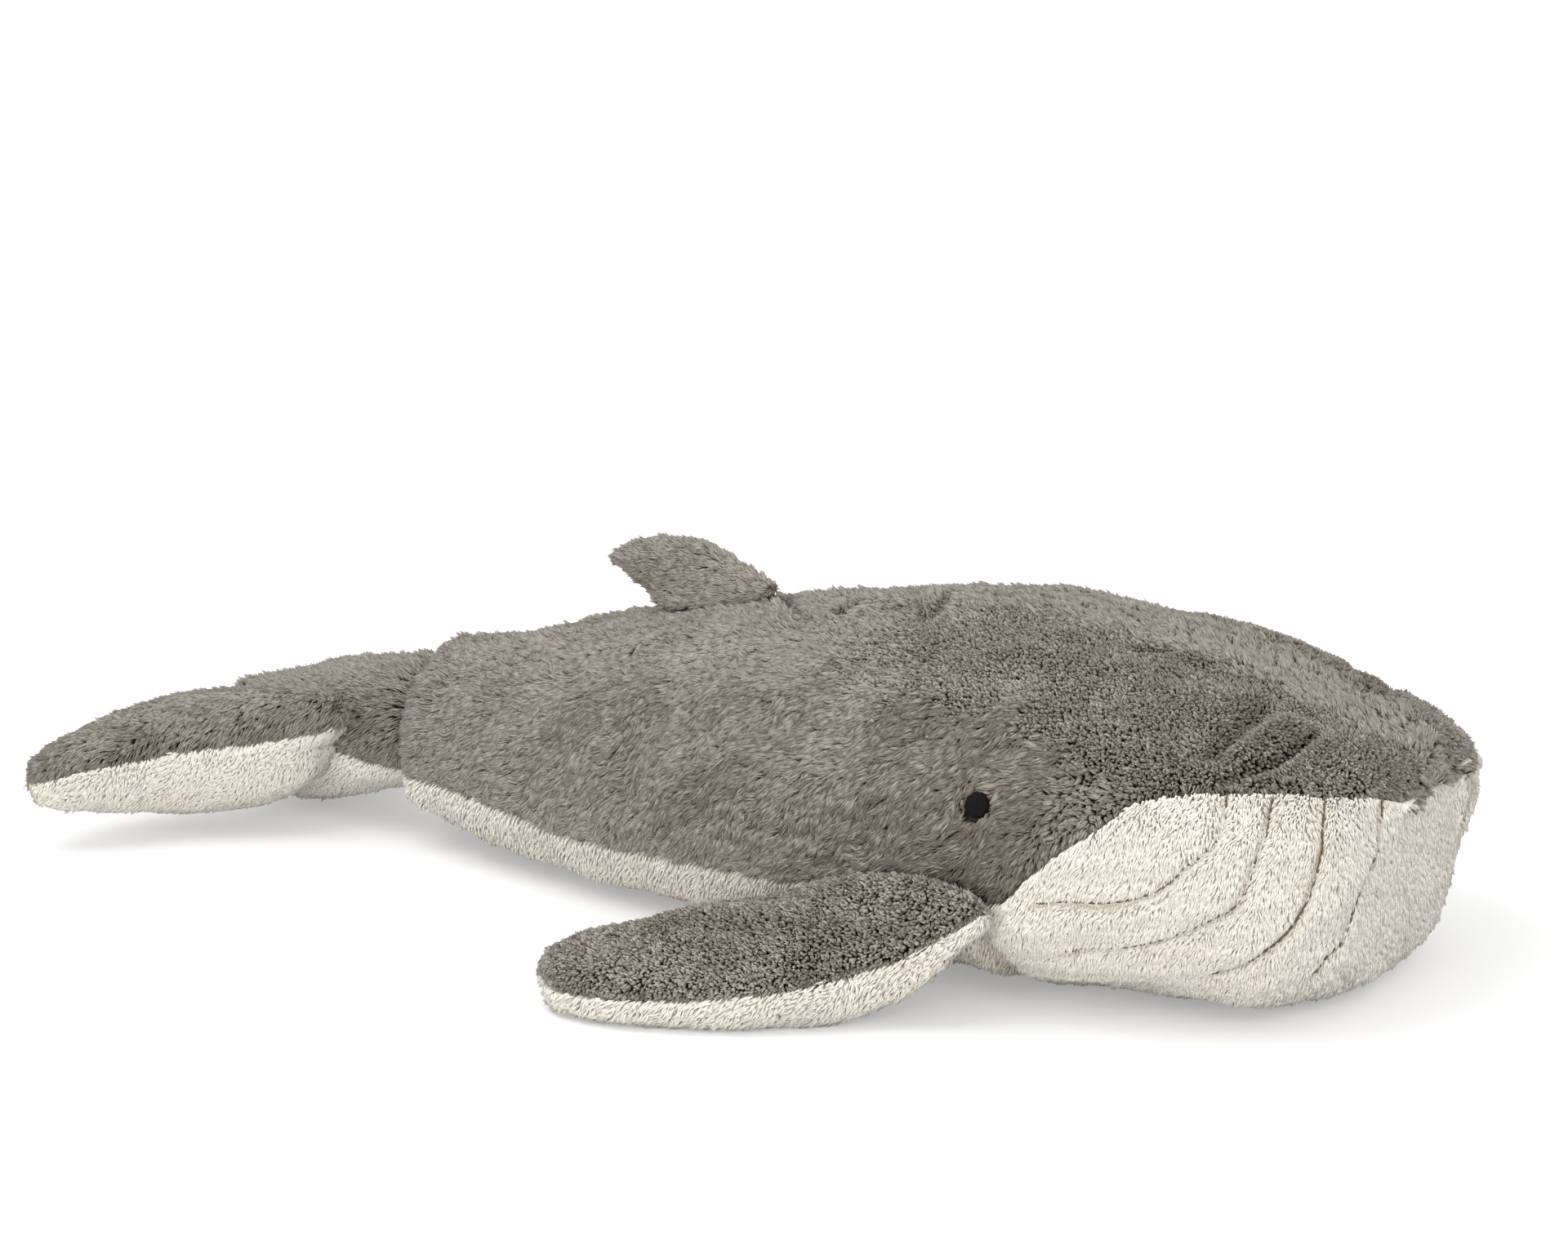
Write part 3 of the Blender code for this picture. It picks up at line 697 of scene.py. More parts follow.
@dataclass(frozen=True)
class BackingFinish(Finish):
    """The knitted backing cloth that shows between the locks."""

    grey: Colour
    cream: Colour
    knit: float = 0.9 * MM
    attribute: str = "cream"

    def paint(self, sheet: NodeSheet) -> dict[str, object]:
        """Colour the cloth grey or cream, by the cushion's own attribute.

        Args:
            sheet: The material's node tree.

        Returns:
            The shader's inputs.
        """
        share = sheet.signal("ShaderNodeAttribute", {"attribute_name": self.attribute}, {}, "Fac")
        ribs = sheet.signal("ShaderNodeTexWave", {"bands_direction": "DIAGONAL"}, {
            "Vector": sheet.place(), "Scale": MM / self.knit * 100, "Distortion": 3.0,
            "Detail": 1.0}, "Fac")
        cloth = sheet.tinted(share, self.grey, self.cream)
        # The cloth is darkened along the ribs of the knit, less on the cream.
        rib_darkened = sheet.tinted(ribs * (0.35 - share * 0.3), cloth, (0.0, 0.0, 0.0))
        return {"Base Color": rib_darkened, "Roughness": 0.95, "Normal": sheet.bump(ribs, 0.6, 0.3 * MM)}


@dataclass(frozen=True)
class ThreadFinish(Finish):
    """Twisted sewing or embroidery thread."""

    colour: Colour
    lustre: Colour
    roughness: float
    twist: float

    def paint(self, sheet: NodeSheet) -> dict[str, object]:
        """Show the fine twist of the thread as bump, and as lighter streaks of colour that are a
        painted highlight.

        Args:
            sheet: The material's node tree.

        Returns:
            The shader's inputs.
        """
        twist = sheet.signal("ShaderNodeTexNoise", {}, {
            "Vector": sheet.place(), "Scale": 1 / self.twist, "Detail": 3.0, "Roughness": 0.6})
        # Lighter colour along the twist: a painted highlight.
        colour = sheet.tinted(twist ** 2.0, self.colour, self.lustre)
        return {"Base Color": colour, "Roughness": self.roughness, "Specular IOR Level": 0.15,
                "Normal": sheet.bump(twist, 0.5, 0.15 * MM)}


# Each ramp runs from root to tip; the dark roots are painted shade deep in the pile.
GREY_PILE = PileFinish(
    "grey_pile_locks", "grey_pile",
    ((0.0, (0.032, 0.025, 0.017)), (0.3, (0.088, 0.069, 0.049)), (0.65, (0.160, 0.136, 0.103)),
     (1.0, (0.225, 0.195, 0.154))),
    ((0.0, (0.075, 0.059, 0.043)), (0.3, (0.225, 0.194, 0.156)), (0.65, (0.402, 0.368, 0.318)),
     (1.0, (0.585, 0.552, 0.505))), 1.7)
CREAM_PILE = PileFinish(
    "cream_pile_locks", "cream_pile",
    ((0.0, (0.56, 0.46, 0.33)), (0.3, (0.64, 0.54, 0.40)), (0.7, (0.69, 0.59, 0.45)),
     (1.0, (0.73, 0.64, 0.50))),
    ((0.0, (0.80, 0.76, 0.675)), (0.3, (0.825, 0.787, 0.705)), (0.7, (0.835, 0.803, 0.73)),
     (1.0, (0.845, 0.817, 0.752))), 0.25, depth=1.7 * MM, tumble=0.12, softness=0.62)
BACKING = BackingFinish("knitted_backing", "stuffing_fibre", (0.06, 0.048, 0.038),
                        (0.93, 0.89, 0.80))
BLACK_THREAD = ThreadFinish("black_satin_thread", "black_thread", (0.0015, 0.0015, 0.002),
                            (0.010, 0.010, 0.012), 0.8, 0.5 * MM)
BROWN_THREAD = ThreadFinish("brown_pleat_thread", "brown_thread", (0.10, 0.070, 0.042),
                            (0.26, 0.20, 0.135), 0.6, 0.4 * MM)


# Meshes


def object_from(name: str, points: Rows, faces: Rows) -> bpy.types.Object:
    """Make an object from rows of points and rows of corner numbers.

    Args:
        name: The piece's name.
        points: Rows of places.
        faces: Rows of corner numbers, all with as many corners.

    Returns:
        The object, at the origin.
    """
    mesh = bpy.data.meshes.new(name)
    count, corners = faces.shape
    mesh.vertices.add(len(points))
    mesh.vertices.foreach_set("co", points.astype(np.float32).ravel())
    mesh.loops.add(count * corners)
    mesh.loops.foreach_set("vertex_index", faces.astype(np.int32).ravel())
    mesh.polygons.add(count)
    mesh.polygons.foreach_set("loop_start", np.arange(0, count * corners, corners, dtype=np.int32))
    mesh.update(calc_edges=True)
    mesh.shade_smooth()
    made = bpy.data.objects.new(name, mesh)
    bpy.context.scene.collection.objects.link(made)
    return made


def grid_faces(rows: int, columns: int) -> Rows:
    """Give the faces of a grid that closes round on itself."""
    index = np.arange(rows * columns).reshape(rows, columns)
    after = np.roll(index, -1, axis=1)
    return np.stack((index[:-1], after[:-1], after[1:], index[1:]), axis=-1).reshape(-1, 4)


def turn_outwards(piece: bpy.types.Object) -> None:
    """Merge a closed mesh's doubles and turn its faces outwards.

    Args:
        piece: The object.
    """
    work = bmesh.new()
    work.from_mesh(piece.data)
    bmesh.ops.remove_doubles(work, verts=work.verts, dist=WELD)
    bmesh.ops.dissolve_degenerate(work, edges=work.edges, dist=WELD)
    bmesh.ops.recalc_face_normals(work, faces=work.faces)
    if work.calc_volume(signed=True) < 0:
        bmesh.ops.reverse_faces(work, faces=work.faces)
    work.to_mesh(piece.data)
    work.free()


@dataclass(frozen=True)
class Nap:
    """How the pile lies in one region of a panel."""

    towards: Point
    lean: float
    length: float
    width: float
    tone: float
    ruffle: float = 14.0
    swirl: float = 18.0
    clump: float = 0.55
    bend: float = 0.35
    bunch: float = 2.0 * MM
    mottle: float = 1.0
    flecks: float = 0.0


@dataclass
class Panel:
    """A sewn plush panel: a stretch of a form, between two places and two angles."""

    name: str
    form: Form
    finish: PileFinish
    first: float
    last: float
    low: Callable[[Rows], Rows]
    high: Callable[[Rows], Rows]
    mirrored: bool = False
    rows: int = 260
    columns: int = 130
    even_steps: tuple[float, float] = (0.7548776662466927, 0.5698402909980532)
    seed_step: float = 0.37
    row_spread: float = 0.2

    def places(self, share: Rows, level: Rows) -> tuple[Rows, Rows]:
        """Turn shares of the way along and around the panel into places on its form."""
        along = self.first + (self.last - self.first) * share
        low, high = self.low(along), self.high(along)
        return along, low + (high - low) * level

    def scatter(self, count: int, density: Region, seed: int) -> tuple[Rows, Rows]:
        """Spread places evenly over the panel, more closely where the density is higher.

        Args:
            count: How many places.
            density: The wished density by place.
            seed: Which spread this is.

        Returns:
            The places along and the angles around.
        """
        rows, columns = np.meshgrid(np.linspace(0, 1, self.rows), np.linspace(0, 1, self.columns),
                                    indexing="ij")
        along, around = self.places(rows.ravel(), columns.ravel())
        points = self.form.plain(along, around)
        weights = density(along, around, points).reshape(self.rows, self.columns)
        grid = points.reshape(self.rows, self.columns, 3)
        corner = grid[:-1, :-1]
        areas = np.linalg.norm(np.cross(grid[1:, :-1] - corner, grid[:-1, 1:] - corner), axis=2)
        areas = areas * (weights[1:, 1:] + weights[:-1, :-1]) / 2 + TINY
        row_sums = np.concatenate(([0], np.cumsum(areas.sum(1))))
        column_sums = np.cumsum(areas, axis=1)
        column_sums /= column_sums[:, -1:]
        # Steps of a sequence that fills the square evenly
        index = np.arange(count) + seed * self.seed_step
        first, second = ((index * step) % 1.0 for step in self.even_steps)
        target = first * row_sums[-1]
        row = np.clip(np.searchsorted(row_sums, target, side="right") - 1, 0, self.rows - 2)
        within = (target - row_sums[row]) / np.maximum(row_sums[row + 1] - row_sums[row], TINY)
        flat = (column_sums + np.arange(self.rows - 1)[:, None]).ravel()
        found = np.searchsorted(flat, row + second) - row * (self.columns - 1)
        column = np.clip(found, 0, self.columns - 2)
        rng = np.random.default_rng(seed)
        shift = rng.normal(0, self.row_spread, count)
        share = (row + np.clip(within + shift, 0, 1)) / (self.rows - 1)
        level = (column + rng.uniform(0, 1, count)) / (self.columns - 1)
        return self.places(share, level)


LOCK_FACES = {2: ((0, 1, 2), (3, 2, 1), (0, 3, 1), (0, 2, 3)),
              3: ((0, 2, 1), (0, 3, 2), (0, 1, 3), (4, 1, 2), (4, 2, 3), (4, 3, 1))}


@dataclass
class Pile:
    """The locks of a panel: closed bent blades or spindles of four or six faces."""

    panel: Panel
    naps: Sequence[tuple[Nap, Region]]
    density: Region
    count: int
    seed: int
    suffix: str = "pile"
    waist: float = 0.55
    sides: int = 2
    strand_spread: float = 0.03
    keep_out: Sequence[tuple[Rows, float]] = ()
    short_near: Sequence[Rows] = ()
    hidden_margin: float = 0.4 * MM
    length_range: tuple[float, float] = (0.82, 1.15)
    shortened: float = 0.45
    short_reach: tuple[float, float] = (0.5 * MM, 3.0 * MM)
    short_shade: float = 0.6
    tuft_length: float = 0.22
    tuft_limit: float = 1.6
    tuft_turn: float = 0.8
    lock_turn: float = 0.45
    tuft_lean: float = 0.07
    lock_lean: float = 0.05
    most_lean: float = 0.985
    tip_bend: float = 0.6
    tuft_tone: float = 0.12
    lock_tone: float = 0.15
    patch_tone: float = 0.13
    fold_shade: float = 0.16
    fold_depth: float = 4 * MM
    fleck_tone: float = 0.15
    lift: float = 0.25

    def mixed(self, along: Rows, around: Rows, points: Rows) -> dict[str, Rows]:
        """Blend the regions' naps at each place.

        Args:
            along: Places along the form.
            around: Angles around it.
            points: The points there.

        Returns:
            Each of the nap's fields, by its name.
        """
        weights = np.stack([region(along, around, points) for _, region in self.naps])
        weights = np.maximum(weights, 1e-6)
        weights /= weights.sum(0)
        fields = {}
        for name in Nap.__dataclass_fields__:
            values = np.stack([np.atleast_1d(np.asarray(getattr(nap, name), float))
                               for nap, _ in self.naps])
            fields[name] = weights.T @ values
        if self.panel.mirrored:
            fields["towards"] = fields["towards"] * np.array((1, -1, 1))
        return fields

    def build(self, hidden_by: Sequence[BVHTree] = ()) -> bpy.types.Object:
        """Make the locks as one mesh.

        Args:
            hidden_by: Forms inside which no lock is wanted.

        Returns:
            The pile's object, dressed.
        """
        rng = np.random.default_rng(self.seed)
        along, around = self.panel.scatter(self.count, self.density, self.seed)
        points, normals = self.panel.form.frames(along, around)
        kept = np.ones(len(points), bool)
        for tree in hidden_by:
            kept &= ~inside(tree, points, kept, 0.4 * MM)
        along, around, points, normals = (a[kept] for a in (along, around, points, normals))
        count = len(points)
        towards, *rest = self.mixed(along, around, points).values()
        (lean, length, width, tone, ruffle, swirl, clump, bend, bunch, mottle,
         flecks) = (column[:, 0] for column in rest)
        length = length * rng.uniform(*self.length_range, count)
        beside = np.zeros(count)
        for route in self.short_near:
            gap = route_distance(points, route)[0]
            beside = np.maximum(beside, 1 - eased(gap, *self.short_reach))
        length = length * (1 - self.shortened * beside)
        number = self.tufts(points, float(bunch.mean()))
        own = rng.normal(0, 1, (number.max() + 1, 3))[number]
        longer = np.clip(own[:, 1], -self.tuft_limit, self.tuft_limit)
        length = length * (1 + clump * self.tuft_length * longer)
        turn = np.radians(swirl * slow_noise(points, 0.03, 11) + ruffle * (
            self.tuft_turn * own[:, 0] + self.lock_turn * rng.normal(0, 1, count)))[:, None]
        flat = unit(towards - np.sum(towards * normals, 1, keepdims=True) * normals)
        flat = flat * np.cos(turn) + np.cross(normals, flat) * np.sin(turn)
        lean = np.clip(lean + self.tuft_lean * own[:, 2] + rng.normal(0, self.lock_lean, count),
                       0, 0.97)
        for centre, radius in self.keep_out:
            length, lean = self.parted(centre - points, radius, flat, length, lean)
        leans = (lean * (1 - bend), np.minimum(lean * (1 + bend * self.tip_bend), self.most_lean))
        low, high = (flat * part[:, None] + normals * np.sqrt(1 - part**2)[:, None]
                     for part in leans)
        roots = points - normals * self.panel.finish.depth
        middles = roots + low * (length * self.waist)[:, None]
        tips = middles + high * (length * (1 - self.waist))[:, None]
        tips = self.bunched(tips, number, clump)
        # Locks over the creases are darkened by fold_shade: painted shade in the folds, added to the
        # random tone patches.
        sunk = np.clip(self.panel.form.drawn_in(points) / self.fold_depth, 0, 1)
        patches_and_fold_shade = (self.tuft_tone * own[:, 1] + rng.normal(0, self.lock_tone, count)
                   + self.patch_tone * slow_noise(points, 0.06, 21) - self.fold_shade * sunk)
        # Locks beside the short_near routes, the throat pleats, are darkened: painted shade along the
        # pleats.
        tone = tone + mottle * patches_and_fold_shade - self.short_shade * beside**2
        tone = np.where(rng.uniform(0, 1, count) < flecks, self.fleck_tone, tone)
        clear = np.ones(count, bool)
        for centre, radius in self.keep_out:
            for places in (points, (points + middles) / 2, middles, (middles + tips) / 2, tips):
                clear &= np.linalg.norm(places - centre, axis=1) > radius
        line = [rows[clear] for rows in (roots, middles, tips, normals)]
        return self.dressed(*line, width[clear], np.clip(tone, 0.02, 0.98)[clear], rng)

    def parted(self, offset: Rows, radius: float, flat: Rows, length: Rows,
               lean: Rows) -> tuple[Rows, Rows]:
        """Stand the locks up that would lie over an eye.

        Args:
            offset: The way from each lock to the middle of the eye.
            radius: The radius to keep clear.
            flat: The direction that each lock lies in.
            length: How long the locks are.
            lean: How far they lean.

        Returns:
            The new lengths and leans.
        """
        ahead = np.sum(offset * flat, axis=1)
        beside = np.sum(offset**2, axis=1) - ahead**2
        room = ahead - np.sqrt(np.maximum(radius**2 - beside, 0))
        meets = (ahead > 0) & (beside < radius**2) & (room < length * lean)
        height = length * np.sqrt(1 - lean**2)
        reach = np.where(meets, np.maximum(room, 0.1 * MM), length * lean)
        length = np.hypot(reach, height)
        return length, reach / length

    def tufts(self, points: Rows, size: float) -> Rows:
        """Give the number of the little tuft that each lock mats into."""
        jitter = np.stack([slow_noise(points, 0.007, 31 + i) for i in range(3)], axis=-1) * 0.35 * size
        cells = np.floor((points + jitter) / size).astype(np.int64)
        return np.unique(cells, axis=0, return_inverse=True)[1].ravel()

    def bunched(self, tips: Rows, number: Rows, clump: Rows) -> Rows:
        """Draw the tips of each tuft together, by the share given in clump."""
        counts = np.bincount(number)
        means = np.stack([np.bincount(number, tips[:, i]) / counts for i in range(3)], axis=-1)
        return tips + (means[number] - tips) * clump[:, None]

    def dressed(self, roots: Rows, middles: Rows, tips: Rows, normals: Rows,
                width: Rows, tone: Rows, rng: np.random.Generator) -> bpy.types.Object:
        """Close each lock round its line and colour it.

        Args:
            roots: Where the locks start.
            middles: Where they are widest.
            tips: Where they end.
            normals: The directions out of the skin.
            width: How wide they are.
            tone: How light they are, from 0 to 1.
            rng: The pile's own random numbers.

        Returns:
            The pile's object.
        """
        count = len(roots)
        line = unit(tips - roots)
        across = unit(np.cross(line, normals) + 1e-9)
        upright = np.cross(across, line)
        roll = rng.uniform(-1, 1, count) * self.panel.finish.tumble
        if self.sides == 2:
            out = self.lift * upright * width[:, None]
            flat = across * np.cos(roll)[:, None] + upright * np.sin(roll)[:, None]
            ring = [middles + out + sign * flat * (width / 2)[:, None] for sign in (1, -1)]
        else:
            turns = [math.pi / 2 + corner * 2 * math.pi / 3 + roll for corner in range(3)]
            ring = [middles + (across * np.cos(turn)[:, None] + 0.8 * upright
                               * np.sin(turn)[:, None]) * (width / 2)[:, None] for turn in turns]
        points = np.stack((roots, *ring, tips), axis=1)
        points[..., 2] = np.maximum(points[..., 2], FLOOR_CLEARANCE)
        pattern = np.array(LOCK_FACES[self.sides])
        faces = (pattern[None] + points.shape[1] * np.arange(count)[:, None, None]).reshape(-1, 3)
        piece = object_from(f"{self.panel.name}_{self.suffix}", points.reshape(-1, 3), faces)
        heights = np.array((0.02, *(0.5,) * self.sides, 0.98))
        strand = np.array((0.0, *(0.0, 1.0, -1.0)[-self.sides:], 0.0)) * self.strand_spread
        uv = np.empty((count, pattern.size, 2), np.float32)
        uv[..., 0] = np.clip(tone[:, None] + strand[pattern.ravel()][None], 0.005, 0.995)
        uv[..., 1] = heights[pattern.ravel()][None]
        piece.data.uv_layers.new(name=self.panel.finish.uv_map).data.foreach_set("uv", uv.ravel())
        self.panel.finish.dress(piece)
        if self.panel.finish.softness:
            self.soften(piece, np.repeat(normals, points.shape[1], axis=0))
        LOG.info("%s: %d locks", piece.name, count)
        return piece

    def soften(self, piece: bpy.types.Object, skin: Rows) -> None:
        """Shade fine pile more like the skin under it.

        Args:
            piece: The pile's object.
            skin: The direction out of the skin at each of its vertices.
        """
        own = np.empty(skin.size, np.float32)
        piece.data.vertex_normals.foreach_get("vector", own)
        share = self.panel.finish.softness
        soft = unit(own.reshape(-1, 3) * (1 - share) + skin * share)
        piece.data.normals_split_custom_set_from_vertices(soft.tolist())


def inside(tree: BVHTree, points: Rows, wanted: Rows, margin: float) -> Rows:
    """Find the places inside a closed form.

    Args:
        tree: The form's faces.
        points: Rows of places.
        wanted: Which rows to test.
        margin: How far outside the form still counts.

    Returns:
        Which places lie inside.
    """
    found = np.zeros(len(points), bool)
    for i in np.flatnonzero(wanted):
        place = Vector(points[i])
        near = tree.find_nearest(place, MAX_ROOT_DEPTH)[0]
        if near is None:
            continue
        crossings = 0
        start = place
        while crossings < MAX_CROSSINGS:
            hit = tree.ray_cast(start, SKEW)[0]
            if hit is None:
                break
            crossings += 1
            start = hit + SKEW * WELD
        found[i] = crossings % 2 == 1 or (place - near).length < margin
    return found


@dataclass
class Cushion:
    """A stuffed form: its closed cover, which the pile of its panels stands on."""

    name: str
    form: Form
    stuffing: str
    body: str
    parent: str = ""
    hinge: tuple[Point, Point] | None = None
    rows: int = 150
    columns: int = 96
    first: float = 0.0
    depth: float = 3.2 * MM
    cream_depth: float = 1.0 * MM
    fill: float = 0.8
    cream_at: Region | None = None

    def build(self) -> None:
        """Make the closed cover, sunk below the pile."""
        share = (1 - np.cos(np.linspace(0, math.pi, self.rows))) / 2
        along = np.repeat(self.first + (self.form.last - self.first) * share, self.columns)
        around = np.tile(np.linspace(-90, 270, self.columns, endpoint=False), self.rows)
        points, normals = self.form.frames(along, around)
        cream = np.zeros(len(points)) if self.cream_at is None else self.cream_at(
            along, around, points)
        depth = self.depth + (self.cream_depth - self.depth) * cream
        grid = (points - normals * depth[:, None]).reshape(self.rows, self.columns, 3)
        for end, inner in ((0, 1), (-1, -2)):
            grid[end] = grid[end].mean(0) * 0.5 + grid[inner].mean(0) * 0.5
        grid[..., 2] = np.maximum(grid[..., 2], FLOOR_CLEARANCE)
        cover = object_from(self.name, grid.reshape(-1, 3), grid_faces(self.rows, self.columns))
        layer = cover.data.attributes.new("cream", "FLOAT", "POINT")
        layer.data.foreach_set("value", cream.astype(np.float32))
        turn_outwards(cover)
        BACKING.dress(cover, self.stuffing)
        self.tree = BVHTree.FromPolygons([v.co for v in cover.data.vertices],
                                         [p.vertices for p in cover.data.polygons])
        self.carry(cover)
        LOG.info("%s: %d faces", self.name, len(cover.data.polygons))

    def carry(self, piece: bpy.types.Object) -> None:
        """Let a piece move with the cushion's body; a piece of a hinged cushion only has its place
        baked into its mesh.
        """
        if self.hinge is None:
            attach(piece, self.body)
        else:
            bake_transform(piece)


# The parts of the whale


def everywhere(along: Rows, around: Rows, points: Rows) -> Rows:
    """Weigh every place alike."""
    return np.ones(len(points))


PLEATS = (
    ((0.886, 33), (0.890, 16), (0.880, 6), (0.862, -1), (0.835, -5), (0.800, -6), (0.752, -5)),
    ((0.917, 38), (0.922, 14), (0.913, -4), (0.889, -12), (0.851, -19), (0.809, -23), (0.770, -23)),
    ((0.950, 41), (0.959, 8), (0.953, -7), (0.942, -17), (0.929, -23), (0.905, -30), (0.880, -34)),
    ((0.986, 40), (0.990, 12), (0.990, -10), (0.986, -24), (0.976, -34), (0.964, -39),
     (0.952, -42)),
)
JAW_CREASE = Crease(((0.690, -8), (0.695, -18), (0.705, -40), (0.71, -60)), 3.0 * MM, 4.5 * MM)
HEAD_FOLDS = (
    Crease(((0.864, 41), (0.866, 50), (0.868, 60), (0.874, 74)), 3.4 * MM, 3.4 * MM, 0.2),
    Crease(((0.876, 37), (0.896, 46), (0.907, 58), (0.914, 74)), 5.0 * MM, 2.2 * MM, 0.15),
    Crease(((0.874, 43), (0.883, 51), (0.889, 60), (0.894, 74)), -4.2 * MM, 3.4 * MM, 0.2,
           (Side.RIGHT,)),
    Crease(((0.742, 73), (0.760, 77), (0.782, 79)), 3.6 * MM, 3.2 * MM, 0.35, (Side.RIGHT,)),
    Crease(((0.355, 98), (0.395, 86), (0.435, 71)), 3.2 * MM, 3.0 * MM, 0.2, (Side.RIGHT,)),
    Crease(((0.435, 72), (0.462, 79), (0.468, 90)), 3.0 * MM, 3.2 * MM, 0.2, (Side.RIGHT,)),
    Crease(((0.560, 70), (0.552, 84), (0.546, 94)), 2.8 * MM, 3.4 * MM, 0.2, (Side.RIGHT,)),
    Crease(((0.988, -24), (0.993, -45), (0.9955, -75), (0.9955, -90)), 2.0 * MM, 3.0 * MM, 0.2),
    JAW_CREASE,
)
CURLS_EDGE = ShareTable((0.40, 0.48, 0.57, 0.67, 0.735, 0.79, 0.85, 0.90, 1.0),
                        (82, 62, 42, 44, 40, 33, 38, 44, 47))


@dataclass
class Body:
    """The body with its back, belly and throat panels, its eyes and its throat pleats."""

    pleat_depth: float = 2.2 * MM
    pleat_width: float = 2.2 * MM
    eye_station: float = 0.690
    eye_angle: float = 19.9
    eye_diameter: float = 8.7 * MM
    eye_height: float = 2.1 * MM
    eye_sunk: float = 0.3 * MM
    eye_rings: int = 28
    eye_sides: int = 72
    eye_row: float = 0.42 * MM
    eye_row_height: float = 0.10 * MM
    thread_radius: float = 0.30 * MM
    thread_raised: float = 0.3 * MM
    thread_step: float = 0.4 * MM
    stitch: float = 3.0 * MM
    stitch_height: float = 0.35 * MM
    stitch_sunk: float = 0.2 * MM

    def __post_init__(self) -> None:
        """Shape the body's form."""
        pleats = tuple(Crease(route, self.pleat_depth, self.pleat_width) for route in PLEATS)
        self.form = BodyForm(creases=HEAD_FOLDS + pleats)
        self.cushion = Cushion("body_cushion", self.form, "body_stuffing", "torso", rows=260,
                               columns=168, fill=0.85, cream_at=self.is_cream)
        self.eyes = {side: self.on_skin(self.eye_station, self.eye_angle, side) for side in Side}

    def is_cream(self, along: Rows, around: Rows, points: Rows) -> Rows:
        """Tell the underside from the back."""
        return (self.form.above_seam(along, around) < 0).astype(float)

    def on_skin(self, station: float, angle: float, side: Side) -> tuple[Rows, Rows]:
        """Give the point of a place on the skin, and the direction out of it there."""
        points, normals = self.form.frames(np.array([station]), side.turned(np.array([angle])))
        return points[0], normals[0]

    def head_side(self, along: Rows, around: Rows, points: Rows) -> Rows:
        """Weigh the curly patch between the mouth seam and the spine."""
        level = folded(around)
        ragged = 0.02 * slow_noise(points, 0.05, 41)
        edge = CURLS_EDGE.at(along) - 300 * ragged
        patch = eased(along + ragged, 0.40, 0.62) * eased(level, edge - 7, edge + 7)
        ends = np.where(around > 90, 56, 78)
        return patch * (1 - 0.95 * eased(level, ends, ends + 8)) * (1 - eased(along, 0.985, 0.997))

    def build(self) -> None:
        """Make the cover, the eyes and the threads."""
        self.cushion.build()
        for side in Side:
            self.build_eye(side)
            for number, route in enumerate(PLEATS, 1):
                self.build_thread(side, number, route)

    def back_naps(self) -> list[tuple[Nap, Region]]:
        """List how the grey pile lies on the flank, the back, the head and at the mouth."""
        flank = Nap((-0.62, 0.0, -0.80), 0.88, 7.0 * MM, 0.60 * MM, 0.39, swirl=28, clump=0.42,
                    mottle=1.5)
        # The lowest flank is made much lighter: painted fill light over its shade under the light from
        # above.
        skirt_painted_fill = replace(flank, tone=0.95)
        cheek = replace(flank, tone=0.11)
        upper = Nap((-0.93, 0.05, -0.30), 0.80, 6.2 * MM, 0.64 * MM, 0.68, ruffle=22, swirl=36,
                    clump=0.5, mottle=1.3)
        rear = Nap((-0.86, 0.0, -0.50), 0.87, 7.0 * MM, 0.60 * MM, 0.66, swirl=28, clump=0.42,
                   mottle=1.5)
        head = Nap((-0.35, 0.0, -0.93), 0.62, 4.4 * MM, 0.95 * MM, 0.40, ruffle=26, swirl=34)
        crest = Nap((-0.75, 0.0, -0.35), 0.70, 6.2 * MM, 0.55 * MM, 0.78, ruffle=30, swirl=60)
        mouth = Nap((-0.12, 0.0, -1.0), 0.84, 6.0 * MM, 0.66 * MM, 0.32)
        return [
            (flank, lambda a, r, p: (1 - eased(folded(r), 40, 62)) * eased(a, 0.12, 0.3)
             * (1 - eased(a, 0.56, 0.64)) * eased(folded(r), -12, 18)),
            (skirt_painted_fill, lambda a, r, p: (1 - eased(folded(r), -12, 18)) * eased(a, 0.12, 0.3)
             * (1 - eased(a, 0.56, 0.64))),
            (cheek, lambda a, r, p: (1 - eased(folded(r), 40, 62)) * eased(a, 0.56, 0.64)
             * (1 - eased(a, 0.72, 0.78))),
            (upper, lambda a, r, p: eased(folded(r), 40, 62) * (1 - eased(a, 0.72, 0.80))),
            (rear, lambda a, r, p: (1 - eased(folded(r), 40, 62)) * (1 - eased(a, 0.12, 0.3))),
            (head, lambda a, r, p: eased(a, 0.72, 0.80) * (1 - eased(folded(r), 70, 80))),
            (crest, lambda a, r, p: eased(a, 0.70, 0.78) * eased(folded(r), 70, 80)),
            (mouth, lambda a, r, p: 3 * eased(a, 0.72, 0.80) * (1 - eased(folded(r), 60, 70))
             * (1 - eased(self.form.seam_distance(a, r), 3 * MM, 8 * MM))),
        ]

